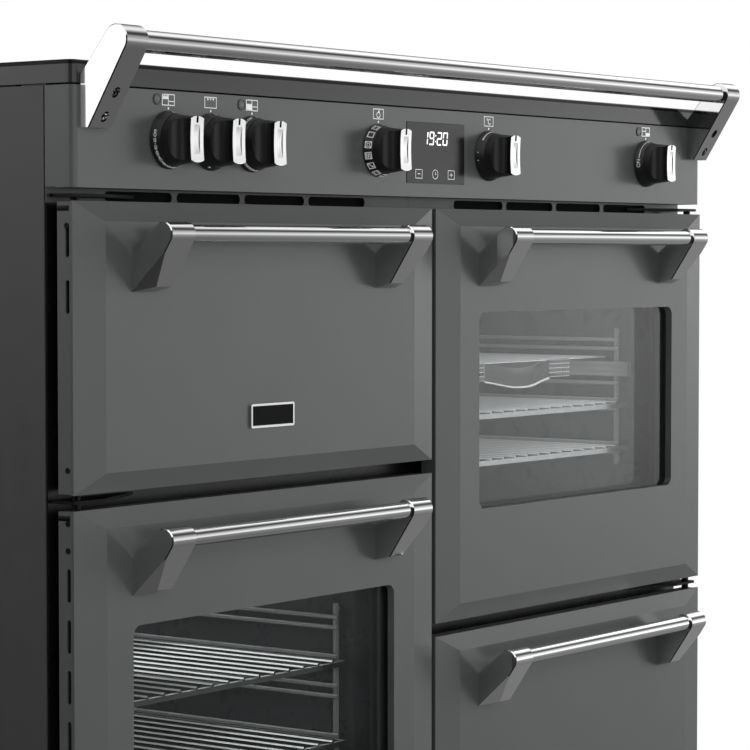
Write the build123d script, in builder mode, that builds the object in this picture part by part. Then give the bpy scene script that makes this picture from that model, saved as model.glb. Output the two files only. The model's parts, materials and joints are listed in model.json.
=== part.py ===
from build123d import *
import os
from dataclasses import dataclass
from math import cos, radians

# A freestanding induction range cooker: a sheet-steel body with two columns of side-hung oven doors,
# a control fascia with six knobs, a glass hob in a steel frame and a hand rail across the front.
# Millimetres, +X to the viewer's right, +Y to the back, +Z up, floor at Z = 0, centred on the box.

# Overall sizes
overall_width = 1100.0
hob_height = 905.0
body_depth = 600.0
centre_gap = 7.0
sheet = 1.5
frame_sheet = 2.0
seat_gap = 0.3
running_gap = 0.05

# Heights down the front
hob_band = 20.5
shadow_gap = 1.7
fascia_height = 90.5
vent_gap = 11.8
short_door_height = 261.0
tall_door_height = 434.0
door_gap = 14.0

# Doors
door_face_rise = 5.0
bevel_across = 38.0
bevel_up = 18.0
door_lip = 2.5
liner_depth = 16.5
liner_inset = 0.8
window_width = 400.0
window_height = 210.0
window_drop = 109.0
window_radius = 10.0
window_return = 8.0
glass_thickness = 4.0
glass_lap = 12.0
plug_rise = 7.0
plug_margin = 8.0
vent_slot_length = 30.0
vent_slot_width = 4.7
vent_slot_depth = 7.0
vent_slot_corner = 1.5
short_vent_drops = (35.0, 85.0)
tall_vent_first = 66.5
tall_vent_pitch = 45.4
tall_vent_count = 7

# Hinges
pivot_inset = 14.0
pivot_depth = 10.0
pin_radius = 4.0
pin_engagement = 11.0
hinge_boss_radius = 7.4
hinge_boss_height = 13.0
hinge_plate = 3.0
hinge_plate_length = 112.0
hinge_plate_shoulder = 42.0
hinge_plate_clear = 3.5
hinge_plate_margin = 4.0
hinge_plate_nose = 3.0

# Door handles and hand rail
handle_length = 402.0
handle_bar_radius = 8.5
handle_reach = 37.4
handle_drop = 29.0
handle_nose_radius = 11.0
handle_bracket_width = 33.5
handle_foot_top = 46.0
handle_foot_bottom = 81.4
handle_toe_reach = 19.0
handle_toe_lift = 4.9
handle_facet_inset = 12.3
handle_facet_reach = 40.8
handle_facet_drop = 43.6
nose_edge = 1.0
rail_inset_left = 11.5
rail_inset_right = 0.8
rail_bar_radius = 10.0
rail_reach = 41.0
rail_nose_radius = 13.5
rail_rise = 140.5
rail_bracket_width = 30.0
rail_foot_top = 112.6
rail_foot_bottom = 64.6
rail_toe_reach = 9.2
rail_screw_rises = (74.0, 95.0)
rail_counterbore_radius = 4.6
rail_counterbore_floor = 5.0

# Body
frame_setback = 32.6
frame_flange = 30.0
panel_joint = 1.6
vent_length = 93.6
vent_pitch = 100.4
vent_count = 4
vent_rise = 10.0
vent_height = 9.6
vent_radius = 4.7
vent_strip_drop = 1.5
side_flange = 15.0
side_bottom = 20.0
tray_top = 60.0
tray_flange = 22.0
plinth_setback = 48.0
plinth_bottom = 12.0
plinth_return = 6.0
louvre_length = 80.0
louvre_width = 7.0
louvre_pitch_x = 104.0
louvre_pitch_z = 18.0
louvre_columns = 4
louvre_rows = 3
louvre_drop = 70.0

# Feet and mains entry
foot_pad_radius = 18.0
foot_pad_height = 9.0
foot_pad_taper = 12.0
foot_stud_radius = 6.0
foot_nut_across = 19.0
foot_nut_height = 9.0
foot_pad_sides = 16
foot_inset = 70.0
terminal_width = 110.0
terminal_height = 80.0
terminal_depth = 48.0
terminal_wall = 3.0
terminal_flange = 14.0
terminal_low = 90.0
terminal_offset = 0.0
gland_radius = 10.0

# Oven cavities
cavity_width = 430.0
cavity_radius = 8.0
cavity_flange = 14.0
tall_cavity_depth = 430.0
short_cavity_depth = 400.0
tall_cavity_margin = 37.0
short_cavity_margin = 40.0
seal_width = 12.0
seal_margin = 3.0

# Ladders and shelves
ladder_wire = 4.0
ladder_post = 6.0
ladder_wall_gap = 4.0
ladder_front = 41.0
ladder_back_gap = 90.0
ladder_overhang = 14.0
guide_drops = (155.0, 196.0, 227.0, 279.0)
guide_spacing = 11.0
shelf_rim = 5.2
shelf_wire = 3.0
shelf_wire_pitch = 24.0
shelf_wire_count = 16
shelf_side_gap = 0.6
shelf_front = 24.0
shelf_depth = 330.0

# Fans and heating elements
fan_cover_size = 240.0
fan_cover_depth = 46.0
fan_cover_radius = 28.0
fan_cover_sheet = 1.2
fan_slot_count = 10
fan_slot_length = 38.0
fan_slot_width = 8.0
fan_slot_circle = 46.0
fan_radius = 78.0
fan_disc = 1.5
fan_blade_height = 20.0
fan_blade_length = 30.0
fan_blade_thickness = 1.5
fan_blade_count = 12
fan_hub_radius = 12.0
fan_wall_gap = 8.0
fan_shaft_radius = 4.0
fan_shaft_length = 40.0
fan_shaft_clearance = 3.0
motor_radius = 38.0
motor_length = 46.0
element_diameter = 8.0
ring_element_radius = 94.0
ring_element_gap = 22.0
ring_element_sides = 18
ring_element_break = 30.0
grill_element_width = 340.0
grill_element_depth = 260.0
grill_element_passes = 4
grill_element_drop = 16.0
grill_element_back_gap = 50.0
grill_element_bend = 24.0

# Hob
hob_wall = 3.0
hob_corner_radius = 8.0
hob_setback = 0.6
hob_ledge = 24.0
hob_ledge_thickness = 3.0
hob_glass = 4.0
hob_glass_inset = 0.8
hob_glass_bevel = 1.0
hob_tray_depth = 22.0
hob_tray_side_margin = 40.0
hob_tray_end_margin = 72.0
hob_tray_lap = 16.0
coil_gap = 0.5
coil_bore = 22.0
coil_sides = 18
coil_inset = 150.0
small_coil = 72.0
large_coil = 90.0
centre_coil = 115.0
coil_forward = 110.0
coil_back = 120.0

# Fascia, knobs and display
fascia_sheet = 2.0
fascia_corner_radius = 8.0
control_rise = 57.2
left_knob_insets = (129.5, 189.6, 250.7)
centre_knob_places = (-97.0, 100.6)
right_knob_inset = 125.8
knob_skirt_radius = 26.8
knob_skirt_height = 9.6
knob_ring_radius = 23.8
knob_body_radius = 23.2
knob_tip_radius = 21.0
knob_body_length = 19.6
knob_collar = 8.0
knob_grip_width = 18.0
knob_scallop_radius = 10.5
knob_cap_thickness = 5.0
knob_cap_dish = 1.0
knob_cap_floor = 1.0
knob_cap_rim = 1.2
knob_notch_width = 2.8
knob_notch_length = 6.0
knob_groove_width = 8.0
knob_groove_depth = 0.8
knob_groove_rim = 5.0
knob_gap = 1.0
spindle_radius = 3.0
spindle_sides = 12
spindle_length = 17.0
switch_size = 32.0
switch_depth = 24.0
spindle_hole_gap = 1.0
display_place = 3.0
display_width = 102.8
display_height = 62.6
display_proud = 0.6
display_flange = 4.0
display_flange_thickness = 2.0
lens_knobs = (0, 2, 5)
lens_offset = 15.8
lens_rise = 94.0
lens_radius = 4.2
lens_flange = 2.0
lens_proud = 0.5

# Badge plate on the upper left door
badge_width = 66.0
badge_height = 23.0
badge_thickness = 2.4
badge_drop = 201.5
badge_rim = 2.0
badge_rim_depth = 0.8

# Places worked out from the sizes above
half_width = overall_width / 2
door_width = (overall_width - centre_gap) / 2
column_x = half_width - door_width / 2
hob_underside = hob_height - hob_band
fascia_top = hob_underside - shadow_gap
fascia_bottom = fascia_top - fascia_height
door_top = fascia_bottom - vent_gap
door_bottom = door_top - short_door_height - door_gap - tall_door_height
nose_reach = rail_reach + rail_nose_radius
edge_y = (nose_reach - (body_depth - door_face_rise)) / 2
face_y = edge_y - door_face_rise
back_y = edge_y + body_depth - door_face_rise
frame_y = edge_y + frame_setback
frame_back_y = frame_y + frame_sheet
liner_front_y = edge_y + door_lip
liner_back_y = liner_front_y + liner_depth
inner_x = half_width - sheet - seat_gap
control_z = door_top + control_rise
knob_places = (
    *(inset - half_width for inset in left_knob_insets),
    *centre_knob_places,
    half_width - right_knob_inset,
)
lens_places = [knob_places[index] - lens_offset for index in lens_knobs]
coil_x = half_width - coil_inset
coil_layout = (
    (-coil_x, -coil_forward, large_coil),
    (-coil_x, coil_back, small_coil),
    (0, 0, centre_coil),
    (coil_x, -coil_forward, small_coil),
    (coil_x, coil_back, large_coil),
)
vent_z = door_top + vent_rise - vent_height / 2
pivot_x = half_width - pivot_inset
pivot_y = edge_y + pivot_depth


@dataclass
class Oven:
    """One door and the cavity behind it."""

    name: str
    side: int
    low: float
    tall: bool

    @property
    def height(self):
        return tall_door_height if self.tall else short_door_height

    @property
    def high(self):
        return self.low + self.height

    @property
    def x(self):
        return self.side * column_x

    @property
    def z(self):
        return self.low + self.height / 2

    @property
    def depth(self):
        return tall_cavity_depth if self.tall else short_cavity_depth

    @property
    def cavity_height(self):
        return self.height - 2 * (tall_cavity_margin if self.tall else short_cavity_margin)

    @property
    def back_y(self):
        return frame_back_y + self.depth


main_oven = Oven("main", -1, door_bottom, True)
grill_oven = Oven("grill", -1, main_oven.high + door_gap, False)
slow_oven = Oven("slow", 1, door_bottom, False)
multi_oven = Oven("multi", 1, slow_oven.high + door_gap, True)
ovens = (grill_oven, main_oven, multi_oven, slow_oven)
tall_ovens = (main_oven, multi_oven)


def facing(x, y, z):
    """A plane that faces the front, with local x along +X and local y up."""
    return Plane(origin=(x, y, z), x_dir=(1, 0, 0), z_dir=(0, -1, 0))


def profile_plane(x, y, z):
    """A plane across the cooker, with local x towards the front and local y up."""
    return Plane(origin=(x, y, z), x_dir=(0, -1, 0), z_dir=(-1, 0, 0))


class Rod(RegularPolygon):
    """The six-sided section of a drawn rod, with flats to both sides unless it is turned."""

    def __init__(self, diameter, rotation=0):
        super().__init__(diameter / 2, 6, major_radius=False, rotation=rotation + 30)


def write(builder, name):
    """Labels a finished piece and writes it to its own file."""
    builder.part.label = name
    export_step(builder.part, f"parts/{name}.step")


os.makedirs("parts", exist_ok=True)

# Body panels

with BuildPart() as side_panels:
    panel_front_y = frame_y + panel_joint
    with BuildSketch(Plane.XY.offset(side_bottom)):
        with BuildLine():
            Polyline(
                (half_width, panel_front_y),
                (half_width, back_y),
                (half_width - side_flange, back_y),
                (half_width - side_flange, back_y - sheet),
                (half_width - sheet, back_y - sheet),
                (half_width - sheet, panel_front_y),
                close=True,
            )
        make_face()
    extrude(amount=fascia_top - side_bottom)
    mirror(about=Plane.YZ)
write(side_panels, "side_panels")

with BuildPart() as back_panel:
    panel_back_y = back_y - sheet
    panel_height = hob_underside - tray_top
    with BuildSketch(facing(0, panel_back_y, tray_top + panel_height / 2)):
        Rectangle(2 * inner_x, panel_height)
        for side in (-1, 1):
            with Locations((side * column_x, panel_height / 2 - louvre_drop)):
                with GridLocations(louvre_pitch_x, louvre_pitch_z, louvre_columns, louvre_rows):
                    Rectangle(louvre_length, louvre_width, mode=Mode.SUBTRACT)
    extrude(amount=sheet)
    with BuildSketch(facing(terminal_offset, panel_back_y, terminal_low + terminal_height / 2)):
        Rectangle(terminal_width + 2 * seat_gap, terminal_height + 2 * seat_gap)
    extrude(amount=sheet, mode=Mode.SUBTRACT)
write(back_panel, "back_panel")

with BuildPart() as base_tray:
    tray_front_y = edge_y + plinth_setback
    tray_back_y = back_y - 2 * sheet - seat_gap
    tray_length = tray_back_y - tray_front_y
    with BuildSketch(Plane.XY.offset(tray_top)):
        with Locations((0, (tray_front_y + tray_back_y) / 2)):
            Rectangle(2 * inner_x, tray_length)
    extrude(amount=-tray_flange)
    offset(amount=-frame_sheet, openings=faces().sort_by(Axis.Z)[:1] + faces().filter_by(Axis.Y))
write(base_tray, "base_tray")

with BuildPart() as plinth:
    plinth_half = inner_x - frame_sheet - seat_gap
    with BuildSketch(profile_plane(plinth_half, tray_front_y, 0)):
        with BuildLine():
            Polyline(
                (-plinth_return, tray_top - frame_sheet),
                (sheet, tray_top - frame_sheet),
                (sheet, plinth_bottom),
                (-plinth_return, plinth_bottom),
                (-plinth_return, plinth_bottom + sheet),
                (0, plinth_bottom + sheet),
                (0, tray_top - frame_sheet - sheet),
                (-plinth_return, tray_top - frame_sheet - sheet),
                close=True,
            )
        make_face()
    extrude(amount=2 * plinth_half)
write(plinth, "plinth")

with BuildPart() as levelling_feet:
    foot_x = half_width - foot_inset
    foot_places = [
        (x, y)
        for x in (-foot_x, foot_x)
        for y in (tray_front_y + foot_inset, tray_back_y - foot_inset)
    ]
    with BuildSketch(Plane.XY):
        with Locations(*foot_places):
            RegularPolygon(foot_pad_radius, foot_pad_sides)
    extrude(amount=foot_pad_height, taper=foot_pad_taper)
    tray_underside = tray_top - frame_sheet
    with BuildSketch(Plane.XY.offset(foot_pad_height)):
        with Locations(*foot_places):
            Rod(2 * foot_stud_radius)
    extrude(amount=tray_underside - foot_pad_height)
    with BuildSketch(Plane.XY.offset(tray_underside)):
        with Locations(*foot_places):
            Rod(foot_nut_across)
    extrude(amount=-foot_nut_height)
write(levelling_feet, "levelling_feet")

with BuildPart() as terminal_box:
    with BuildSketch(facing(terminal_offset, panel_back_y, terminal_low + terminal_height / 2)):
        Rectangle(terminal_width, terminal_height)
    extrude(amount=terminal_depth)
    terminal_front_y = panel_back_y - terminal_depth
    offset(amount=-terminal_wall, openings=faces().sort_by(Axis.Y)[0])
    with BuildSketch(facing(terminal_offset, panel_back_y - sheet, terminal_low + terminal_height / 2)):
        Rectangle(terminal_width + 2 * terminal_flange, terminal_height + 2 * terminal_flange)
        Rectangle(terminal_width, terminal_height, mode=Mode.SUBTRACT)
    extrude(amount=terminal_wall)
    with BuildSketch(facing(terminal_offset, panel_back_y, terminal_low + terminal_height / 2)):
        Circle(gland_radius)
    extrude(amount=terminal_wall, mode=Mode.SUBTRACT)
write(terminal_box, "terminal_box")

with BuildPart() as front_frame:
    frame_height = hob_underside - tray_top
    with BuildSketch(Plane.XY.offset(tray_top)):
        with BuildLine():
            Polyline(
                (-inner_x, frame_y),
                (inner_x, frame_y),
                (inner_x, frame_y + frame_flange),
                (inner_x - frame_sheet, frame_y + frame_flange),
                (inner_x - frame_sheet, frame_back_y),
                (frame_sheet - inner_x, frame_back_y),
                (frame_sheet - inner_x, frame_y + frame_flange),
                (-inner_x, frame_y + frame_flange),
                close=True,
            )
        make_face()
    extrude(amount=frame_height)
    with BuildSketch(facing(0, frame_y, 0)):
        for oven in ovens:
            with Locations((oven.x, oven.z)):
                Rectangle(cavity_width, oven.cavity_height)
        for side in (-1, 1):
            with Locations((side * column_x, vent_z)):
                Rectangle(vent_count * vent_pitch, vent_height)
    extrude(amount=-frame_sheet, mode=Mode.SUBTRACT)
write(front_frame, "front_frame")

# Oven cavities and what is fixed in them


def oven_cavity(oven):
    """A drawn steel box, open at the front, with a flange that seats behind the front frame."""
    with BuildPart() as cavity:
        with BuildSketch(facing(oven.x, frame_back_y, oven.z)):
            RectangleRounded(
                cavity_width + 2 * sheet, oven.cavity_height + 2 * sheet, cavity_radius + sheet
            )
        extrude(amount=-(oven.depth + sheet))
        with BuildSketch(facing(oven.x, frame_back_y, oven.z)):
            Rectangle(cavity_width + 2 * cavity_flange, oven.cavity_height + 2 * cavity_flange)
        extrude(amount=-sheet)
        with BuildSketch(facing(oven.x, frame_back_y, oven.z)):
            RectangleRounded(cavity_width, oven.cavity_height, cavity_radius)
        extrude(amount=-oven.depth, mode=Mode.SUBTRACT)
        if oven.tall:
            with BuildSketch(facing(oven.x, oven.back_y, oven.z)):
                Circle(fan_shaft_radius + fan_shaft_clearance)
            extrude(amount=-sheet, mode=Mode.SUBTRACT)
    return cavity


for oven in ovens:
    write(oven_cavity(oven), f"{oven.name}_cavity")

with BuildPart() as door_seals:
    seal_depth = frame_y - liner_back_y - seat_gap
    for oven in ovens:
        with BuildSketch(facing(oven.x, frame_y, oven.z)):
            inner_width = cavity_width + 2 * seal_margin
            inner_height = oven.cavity_height + 2 * seal_margin
            inner_radius = cavity_radius + seal_margin
            RectangleRounded(
                inner_width + 2 * seal_width, inner_height + 2 * seal_width, inner_radius + seal_width
            )
            RectangleRounded(inner_width, inner_height, inner_radius, mode=Mode.SUBTRACT)
        extrude(amount=seal_depth)
write(door_seals, "door_seals")

with BuildPart() as shelf_ladders:
    post_x = cavity_width / 2 - ladder_wall_gap - ladder_post / 2
    guide_x = post_x - (ladder_post + ladder_wire) / 2
    for oven in tall_ovens:
        front_y = frame_back_y + ladder_front
        rear_y = oven.back_y - ladder_back_gap
        low_z = oven.high - guide_drops[-1] - guide_spacing / 2 - ladder_overhang
        high_z = oven.high - guide_drops[0] + guide_spacing / 2 + ladder_overhang
        guide_heights = [
            oven.high - drop + end * guide_spacing / 2 for drop in guide_drops for end in (-1, 1)
        ]
        for side in (-1, 1):
            with BuildSketch(Plane.XY.offset(low_z)):
                with Locations((oven.x + side * post_x, front_y), (oven.x + side * post_x, rear_y)):
                    Rod(ladder_post)
            extrude(amount=high_z - low_z)
            with BuildSketch(facing(oven.x + side * guide_x, front_y - ladder_post, 0)):
                with Locations(*[(0, z) for z in guide_heights]):
                    Rod(ladder_wire)
            extrude(amount=-(rear_y - front_y + 2 * ladder_post))
            with BuildSketch(Plane.YZ.offset(oven.x + side * (post_x + ladder_post / 2))):
                stud_heights = (low_z + ladder_post, high_z - ladder_post)
                with Locations(*[(y, z) for y in (front_y, rear_y) for z in stud_heights]):
                    Rectangle(ladder_wire / 2, ladder_wire)
            extrude(amount=side * ladder_wall_gap)
write(shelf_ladders, "shelf_ladders")

with BuildPart() as fan_covers:
    for oven in tall_ovens:
        with BuildSketch(facing(oven.x, oven.back_y, oven.z)):
            RectangleRounded(fan_cover_size, fan_cover_size, fan_cover_radius)
        extrude(amount=fan_cover_depth)
        with BuildSketch(facing(oven.x, oven.back_y, oven.z)):
            inside = fan_cover_size - 2 * fan_cover_sheet
            RectangleRounded(inside, inside, fan_cover_radius - fan_cover_sheet)
        extrude(amount=fan_cover_depth - fan_cover_sheet, mode=Mode.SUBTRACT)
        with BuildSketch(facing(oven.x, oven.back_y - fan_cover_depth, oven.z)):
            with PolarLocations(fan_slot_circle, fan_slot_count):
                Rectangle(fan_slot_length, fan_slot_width)
        extrude(amount=-fan_cover_sheet, mode=Mode.SUBTRACT)
write(fan_covers, "fan_covers")

with BuildPart() as fan_motors:
    for oven in tall_ovens:
        motor_front_y = oven.back_y + sheet
        with BuildSketch(facing(oven.x, motor_front_y, oven.z)):
            Circle(motor_radius)
        extrude(amount=-motor_length)
        with BuildSketch(facing(oven.x, motor_front_y, oven.z)):
            Circle(fan_shaft_radius + running_gap)
        extrude(amount=-(motor_length - sheet), mode=Mode.SUBTRACT)
write(fan_motors, "fan_motors")

with BuildPart() as heating_elements:
    for oven in tall_ovens:
        ring_y = oven.back_y - ring_element_gap
        with BuildSketch(facing(oven.x, ring_y, oven.z)):
            RegularPolygon(ring_element_radius + element_diameter / 2, ring_element_sides)
            RegularPolygon(
                ring_element_radius - element_diameter / 2, ring_element_sides, mode=Mode.SUBTRACT
            )
            with Locations((0, -ring_element_radius)):
                Rectangle(ring_element_break, 2 * element_diameter, mode=Mode.SUBTRACT)
        extrude(amount=element_diameter)
        with BuildSketch(facing(oven.x, oven.back_y, oven.z)):
            with Locations((0, -ring_element_radius)):
                with GridLocations(ring_element_break + element_diameter, 1, 2, 1):
                    Rectangle(element_diameter, element_diameter)
        extrude(amount=ring_element_gap)
    element_z = grill_oven.z + grill_oven.cavity_height / 2 - grill_element_drop
    loop_back_y = grill_oven.back_y - grill_element_back_gap
    loop_front_y = grill_oven.back_y - grill_element_depth
    pass_pitch = grill_element_width / (grill_element_passes - 1)
    route = []
    for index in range(grill_element_passes):
        pass_x = grill_oven.x - grill_element_width / 2 + index * pass_pitch
        ends = [(pass_x, loop_back_y), (pass_x, loop_front_y)]
        route += ends if index % 2 == 0 else ends[::-1]
    route[0] = (route[0][0], grill_oven.back_y)
    route[-1] = (route[-1][0], grill_oven.back_y)
    with BuildLine(Plane.XY.offset(element_z)) as element_route:
        FilletPolyline(*route, radius=grill_element_bend)
    with BuildSketch(facing(route[0][0], grill_oven.back_y, element_z)):
        Rod(element_diameter)
    sweep(path=element_route.wire())
write(heating_elements, "heating_elements")

# Hob

with BuildPart() as hob_frame:
    hob_front_y = edge_y + hob_setback
    hob_length = back_y - hob_front_y
    hob_mid_y = (hob_front_y + back_y) / 2
    glass_underside = hob_height - hob_glass
    with BuildSketch(Plane.XY.offset(hob_underside)):
        with Locations((0, hob_mid_y)):
            Rectangle(overall_width, hob_length)
    extrude(amount=hob_band - hob_glass)
    fillet(edges().filter_by(Axis.Z).group_by(Axis.Y)[0], hob_corner_radius)
    with BuildSketch(Plane.XY.offset(hob_underside)):
        with Locations((0, hob_mid_y)):
            Rectangle(overall_width - 2 * hob_wall, hob_length - 2 * hob_wall)
    extrude(amount=hob_band - hob_glass - hob_ledge_thickness, mode=Mode.SUBTRACT)
    with BuildSketch(Plane.XY.offset(glass_underside)):
        with Locations((0, hob_mid_y)):
            Rectangle(overall_width - 2 * (hob_wall + hob_ledge), hob_length - 2 * (hob_wall + hob_ledge))
    extrude(amount=-hob_ledge_thickness, mode=Mode.SUBTRACT)
write(hob_frame, "hob_frame")

with BuildPart() as hob_top:
    with BuildSketch(Plane.XY.offset(glass_underside)):
        with Locations((0, hob_mid_y)):
            Rectangle(overall_width - 2 * hob_glass_inset, hob_length - 2 * hob_glass_inset)
    extrude(amount=hob_glass)
    fillet(edges().filter_by(Axis.Z).group_by(Axis.Y)[0], hob_corner_radius - hob_glass_inset)
    chamfer(edges().group_by(Axis.Z)[-1], hob_glass_bevel)
write(hob_top, "hob_glass")

with BuildPart() as hob_tray:
    tray_rim_z = glass_underside - hob_ledge_thickness
    bowl_width = overall_width - 2 * (hob_wall + hob_tray_side_margin)
    bowl_length = hob_length - 2 * (hob_wall + hob_tray_end_margin)
    with BuildSketch(Plane.XY.offset(tray_rim_z)):
        with Locations((0, hob_mid_y)):
            Rectangle(bowl_width, bowl_length)
    extrude(amount=-hob_tray_depth)
    with BuildSketch(Plane.XY.offset(tray_rim_z)):
        with Locations((0, hob_mid_y)):
            Rectangle(overall_width - 2 * hob_tray_lap, hob_length - 2 * hob_tray_lap)
    extrude(amount=-sheet)
    with BuildSketch(Plane.XY.offset(tray_rim_z)):
        with Locations((0, hob_mid_y)):
            Rectangle(bowl_width - 2 * sheet, bowl_length - 2 * sheet)
    extrude(amount=-(hob_tray_depth - sheet), mode=Mode.SUBTRACT)
write(hob_tray, "hob_tray")

with BuildPart() as induction_coils:
    coil_floor_z = tray_rim_z - hob_tray_depth + sheet
    coil_top_z = glass_underside - coil_gap
    with BuildSketch(Plane.XY.offset(coil_floor_z)):
        for x, y, radius in coil_layout:
            with Locations((x, hob_mid_y + y)):
                RegularPolygon(radius, coil_sides)
                RegularPolygon(coil_bore, coil_sides, mode=Mode.SUBTRACT)
    extrude(amount=coil_top_z - coil_floor_z)
write(induction_coils, "induction_coils")

# Fascia and controls

with BuildPart() as fascia_panel:
    fascia_mid_z = (fascia_top + fascia_bottom) / 2
    with BuildSketch(facing(0, edge_y, fascia_mid_z)):
        Rectangle(overall_width, fascia_height)
    extrude(amount=-frame_setback)
    fillet(edges().filter_by(Axis.Z).group_by(Axis.Y)[0], fascia_corner_radius)
    offset(amount=-fascia_sheet, openings=faces().sort_by(Axis.Y)[-1])
    strip_low_z = door_top - vent_strip_drop
    with BuildSketch(facing(0, frame_y, 0)):
        with Locations((0, (strip_low_z + fascia_bottom) / 2)):
            Rectangle(overall_width, fascia_bottom - strip_low_z)
        for side in (-1, 1):
            with Locations((side * column_x, vent_z)):
                with GridLocations(vent_pitch, 1, vent_count, 1):
                    RectangleRounded(vent_length, vent_height, vent_radius, mode=Mode.SUBTRACT)
    extrude(amount=fascia_sheet)
    with BuildSketch(facing(0, edge_y, 0)):
        with Locations(*[(x, control_z) for x in knob_places]):
            RegularPolygon(spindle_radius + spindle_hole_gap, spindle_sides)
        with Locations((display_place, control_z)):
            Rectangle(display_width + 2 * seat_gap, display_height + 2 * seat_gap)
        with Locations(*[(x, door_top + lens_rise) for x in lens_places]):
            Circle(lens_radius + seat_gap)
    extrude(amount=-fascia_sheet, mode=Mode.SUBTRACT)
write(fascia_panel, "fascia_panel")

with BuildPart() as display_window:
    fascia_inside_y = edge_y + fascia_sheet
    with BuildSketch(facing(display_place, fascia_inside_y, control_z)):
        Rectangle(display_width, display_height)
    extrude(amount=fascia_sheet + display_proud)
    with BuildSketch(facing(display_place, fascia_inside_y, control_z)):
        Rectangle(display_width + 2 * display_flange, display_height + 2 * display_flange)
    extrude(amount=-display_flange_thickness)
write(display_window, "display_window")

with BuildPart() as indicator_lenses:
    with BuildSketch(facing(0, fascia_inside_y, door_top + lens_rise)):
        with Locations(*[(x, 0) for x in lens_places]):
            Circle(lens_radius)
    extrude(amount=fascia_sheet + lens_proud)
    with BuildSketch(facing(0, fascia_inside_y, door_top + lens_rise)):
        with Locations(*[(x, 0) for x in lens_places]):
            Rectangle(2 * (lens_radius + lens_flange), 2 * lens_radius)
    extrude(amount=-display_flange_thickness)
write(indicator_lenses, "indicator_lenses")

with BuildPart() as control_switches:
    with BuildSketch(facing(0, fascia_inside_y, control_z)):
        with Locations(*[(x, 0) for x in knob_places]):
            Rectangle(switch_size, switch_size)
    extrude(amount=-switch_depth)
    with BuildSketch(facing(0, fascia_inside_y, control_z)):
        with Locations(*[(x, 0) for x in knob_places]):
            RegularPolygon(spindle_radius + running_gap, spindle_sides, major_radius=False)
    extrude(amount=-spindle_length, mode=Mode.SUBTRACT)
write(control_switches, "control_switches")

knob_back_y = edge_y - knob_gap
skirt_front_y = knob_back_y - knob_skirt_height
knob_front_y = skirt_front_y - knob_body_length


def knob_body(x):
    """A dark moulded knob: a conical skirt, then a tapered body scalloped at both sides to a grip."""
    with BuildPart() as body:
        with BuildSketch(facing(x, knob_back_y, control_z)):
            Circle(knob_skirt_radius)
        with BuildSketch(facing(x, skirt_front_y, control_z)):
            Circle(knob_ring_radius)
        loft(ruled=True)
        with BuildSketch(facing(x, skirt_front_y, control_z)):
            Circle(knob_body_radius)
        with BuildSketch(facing(x, knob_front_y, control_z)):
            Circle(knob_tip_radius)
        loft(ruled=True)
        scallop_floor = skirt_front_y - knob_collar
        with BuildSketch(Plane.XY.offset(control_z - knob_skirt_radius)):
            for side in (-1, 1):
                grip_x = x + side * knob_grip_width / 2
                with BuildLine():
                    wall = Line((grip_x, knob_front_y), (grip_x, scallop_floor - knob_scallop_radius))
                    curve = RadiusArc(
                        wall @ 1,
                        (grip_x + side * knob_scallop_radius, scallop_floor),
                        side * knob_scallop_radius,
                    )
                    rest = Polyline(
                        curve @ 1,
                        (x + side * knob_skirt_radius, scallop_floor),
                        (x + side * knob_skirt_radius, knob_front_y),
                        wall @ 0,
                    )
                make_face()
        extrude(amount=2 * knob_skirt_radius, mode=Mode.SUBTRACT)
        with BuildSketch(facing(x, knob_back_y, control_z)):
            RegularPolygon(spindle_radius, spindle_sides)
        extrude(amount=-spindle_length)
    return body


def knob_grip(x):
    """A bright cap on the knob's grip, dished and grooved along its length, with a notch at the top."""
    with BuildPart() as grip:
        with BuildSketch(facing(x, knob_front_y, control_z)):
            Circle(knob_tip_radius)
            Rectangle(knob_grip_width, 2 * knob_tip_radius, mode=Mode.INTERSECT)
        extrude(amount=knob_cap_thickness)
        cap_front_y = knob_front_y - knob_cap_thickness
        hollows = (
            (knob_grip_width, knob_cap_dish, knob_cap_rim),
            (knob_groove_width / 2, knob_cap_dish + knob_groove_depth, knob_groove_rim),
        )
        for half_span, depth, rim in hollows:
            with BuildSketch(profile_plane(x, cap_front_y, control_z)):
                with BuildLine():
                    end = knob_tip_radius - rim
                    dish = ThreePointArc((0, -end), (-depth, 0), (0, end))
                    Polyline(dish @ 1, (knob_cap_dish, end), (knob_cap_dish, -end), dish @ 0)
                make_face()
            extrude(amount=half_span, both=True, mode=Mode.SUBTRACT)
        with BuildSketch(facing(x, cap_front_y, control_z + knob_tip_radius - knob_notch_length / 2)):
            Rectangle(knob_notch_width, knob_notch_length)
        extrude(amount=-(knob_cap_dish + knob_cap_floor), mode=Mode.SUBTRACT)
    return grip


for number, x in enumerate(knob_places, start=1):
    write(knob_body(x), f"knob_{number}_body")
    write(knob_grip(x), f"knob_{number}_grip")

# Hand rail

rail_left_x = -half_width + rail_inset_left
rail_right_x = half_width - rail_inset_right

with BuildPart() as rail_brackets:
    for inner in (rail_left_x + rail_bracket_width, rail_right_x):
        with BuildSketch(profile_plane(inner, edge_y, door_top)):
            with BuildLine():
                Polyline((0, rail_foot_top), (0, rail_foot_bottom), (rail_toe_reach, rail_foot_bottom))
                CenterArc((rail_reach, rail_rise), rail_nose_radius, 0, 360)
            make_hull()
        extrude(amount=rail_bracket_width)
    chamfer(edges().filter_by(GeomType.CIRCLE), nose_edge)
    screw_places = [
        (x + rail_bracket_width / 2, rise)
        for x in (rail_left_x, rail_right_x - rail_bracket_width)
        for rise in rail_screw_rises
    ]
    with BuildSketch(facing(0, edge_y - rail_counterbore_floor, door_top)):
        with Locations(*screw_places):
            Circle(rail_counterbore_radius)
    extrude(amount=nose_reach, mode=Mode.SUBTRACT)
write(rail_brackets, "rail_brackets")

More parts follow.
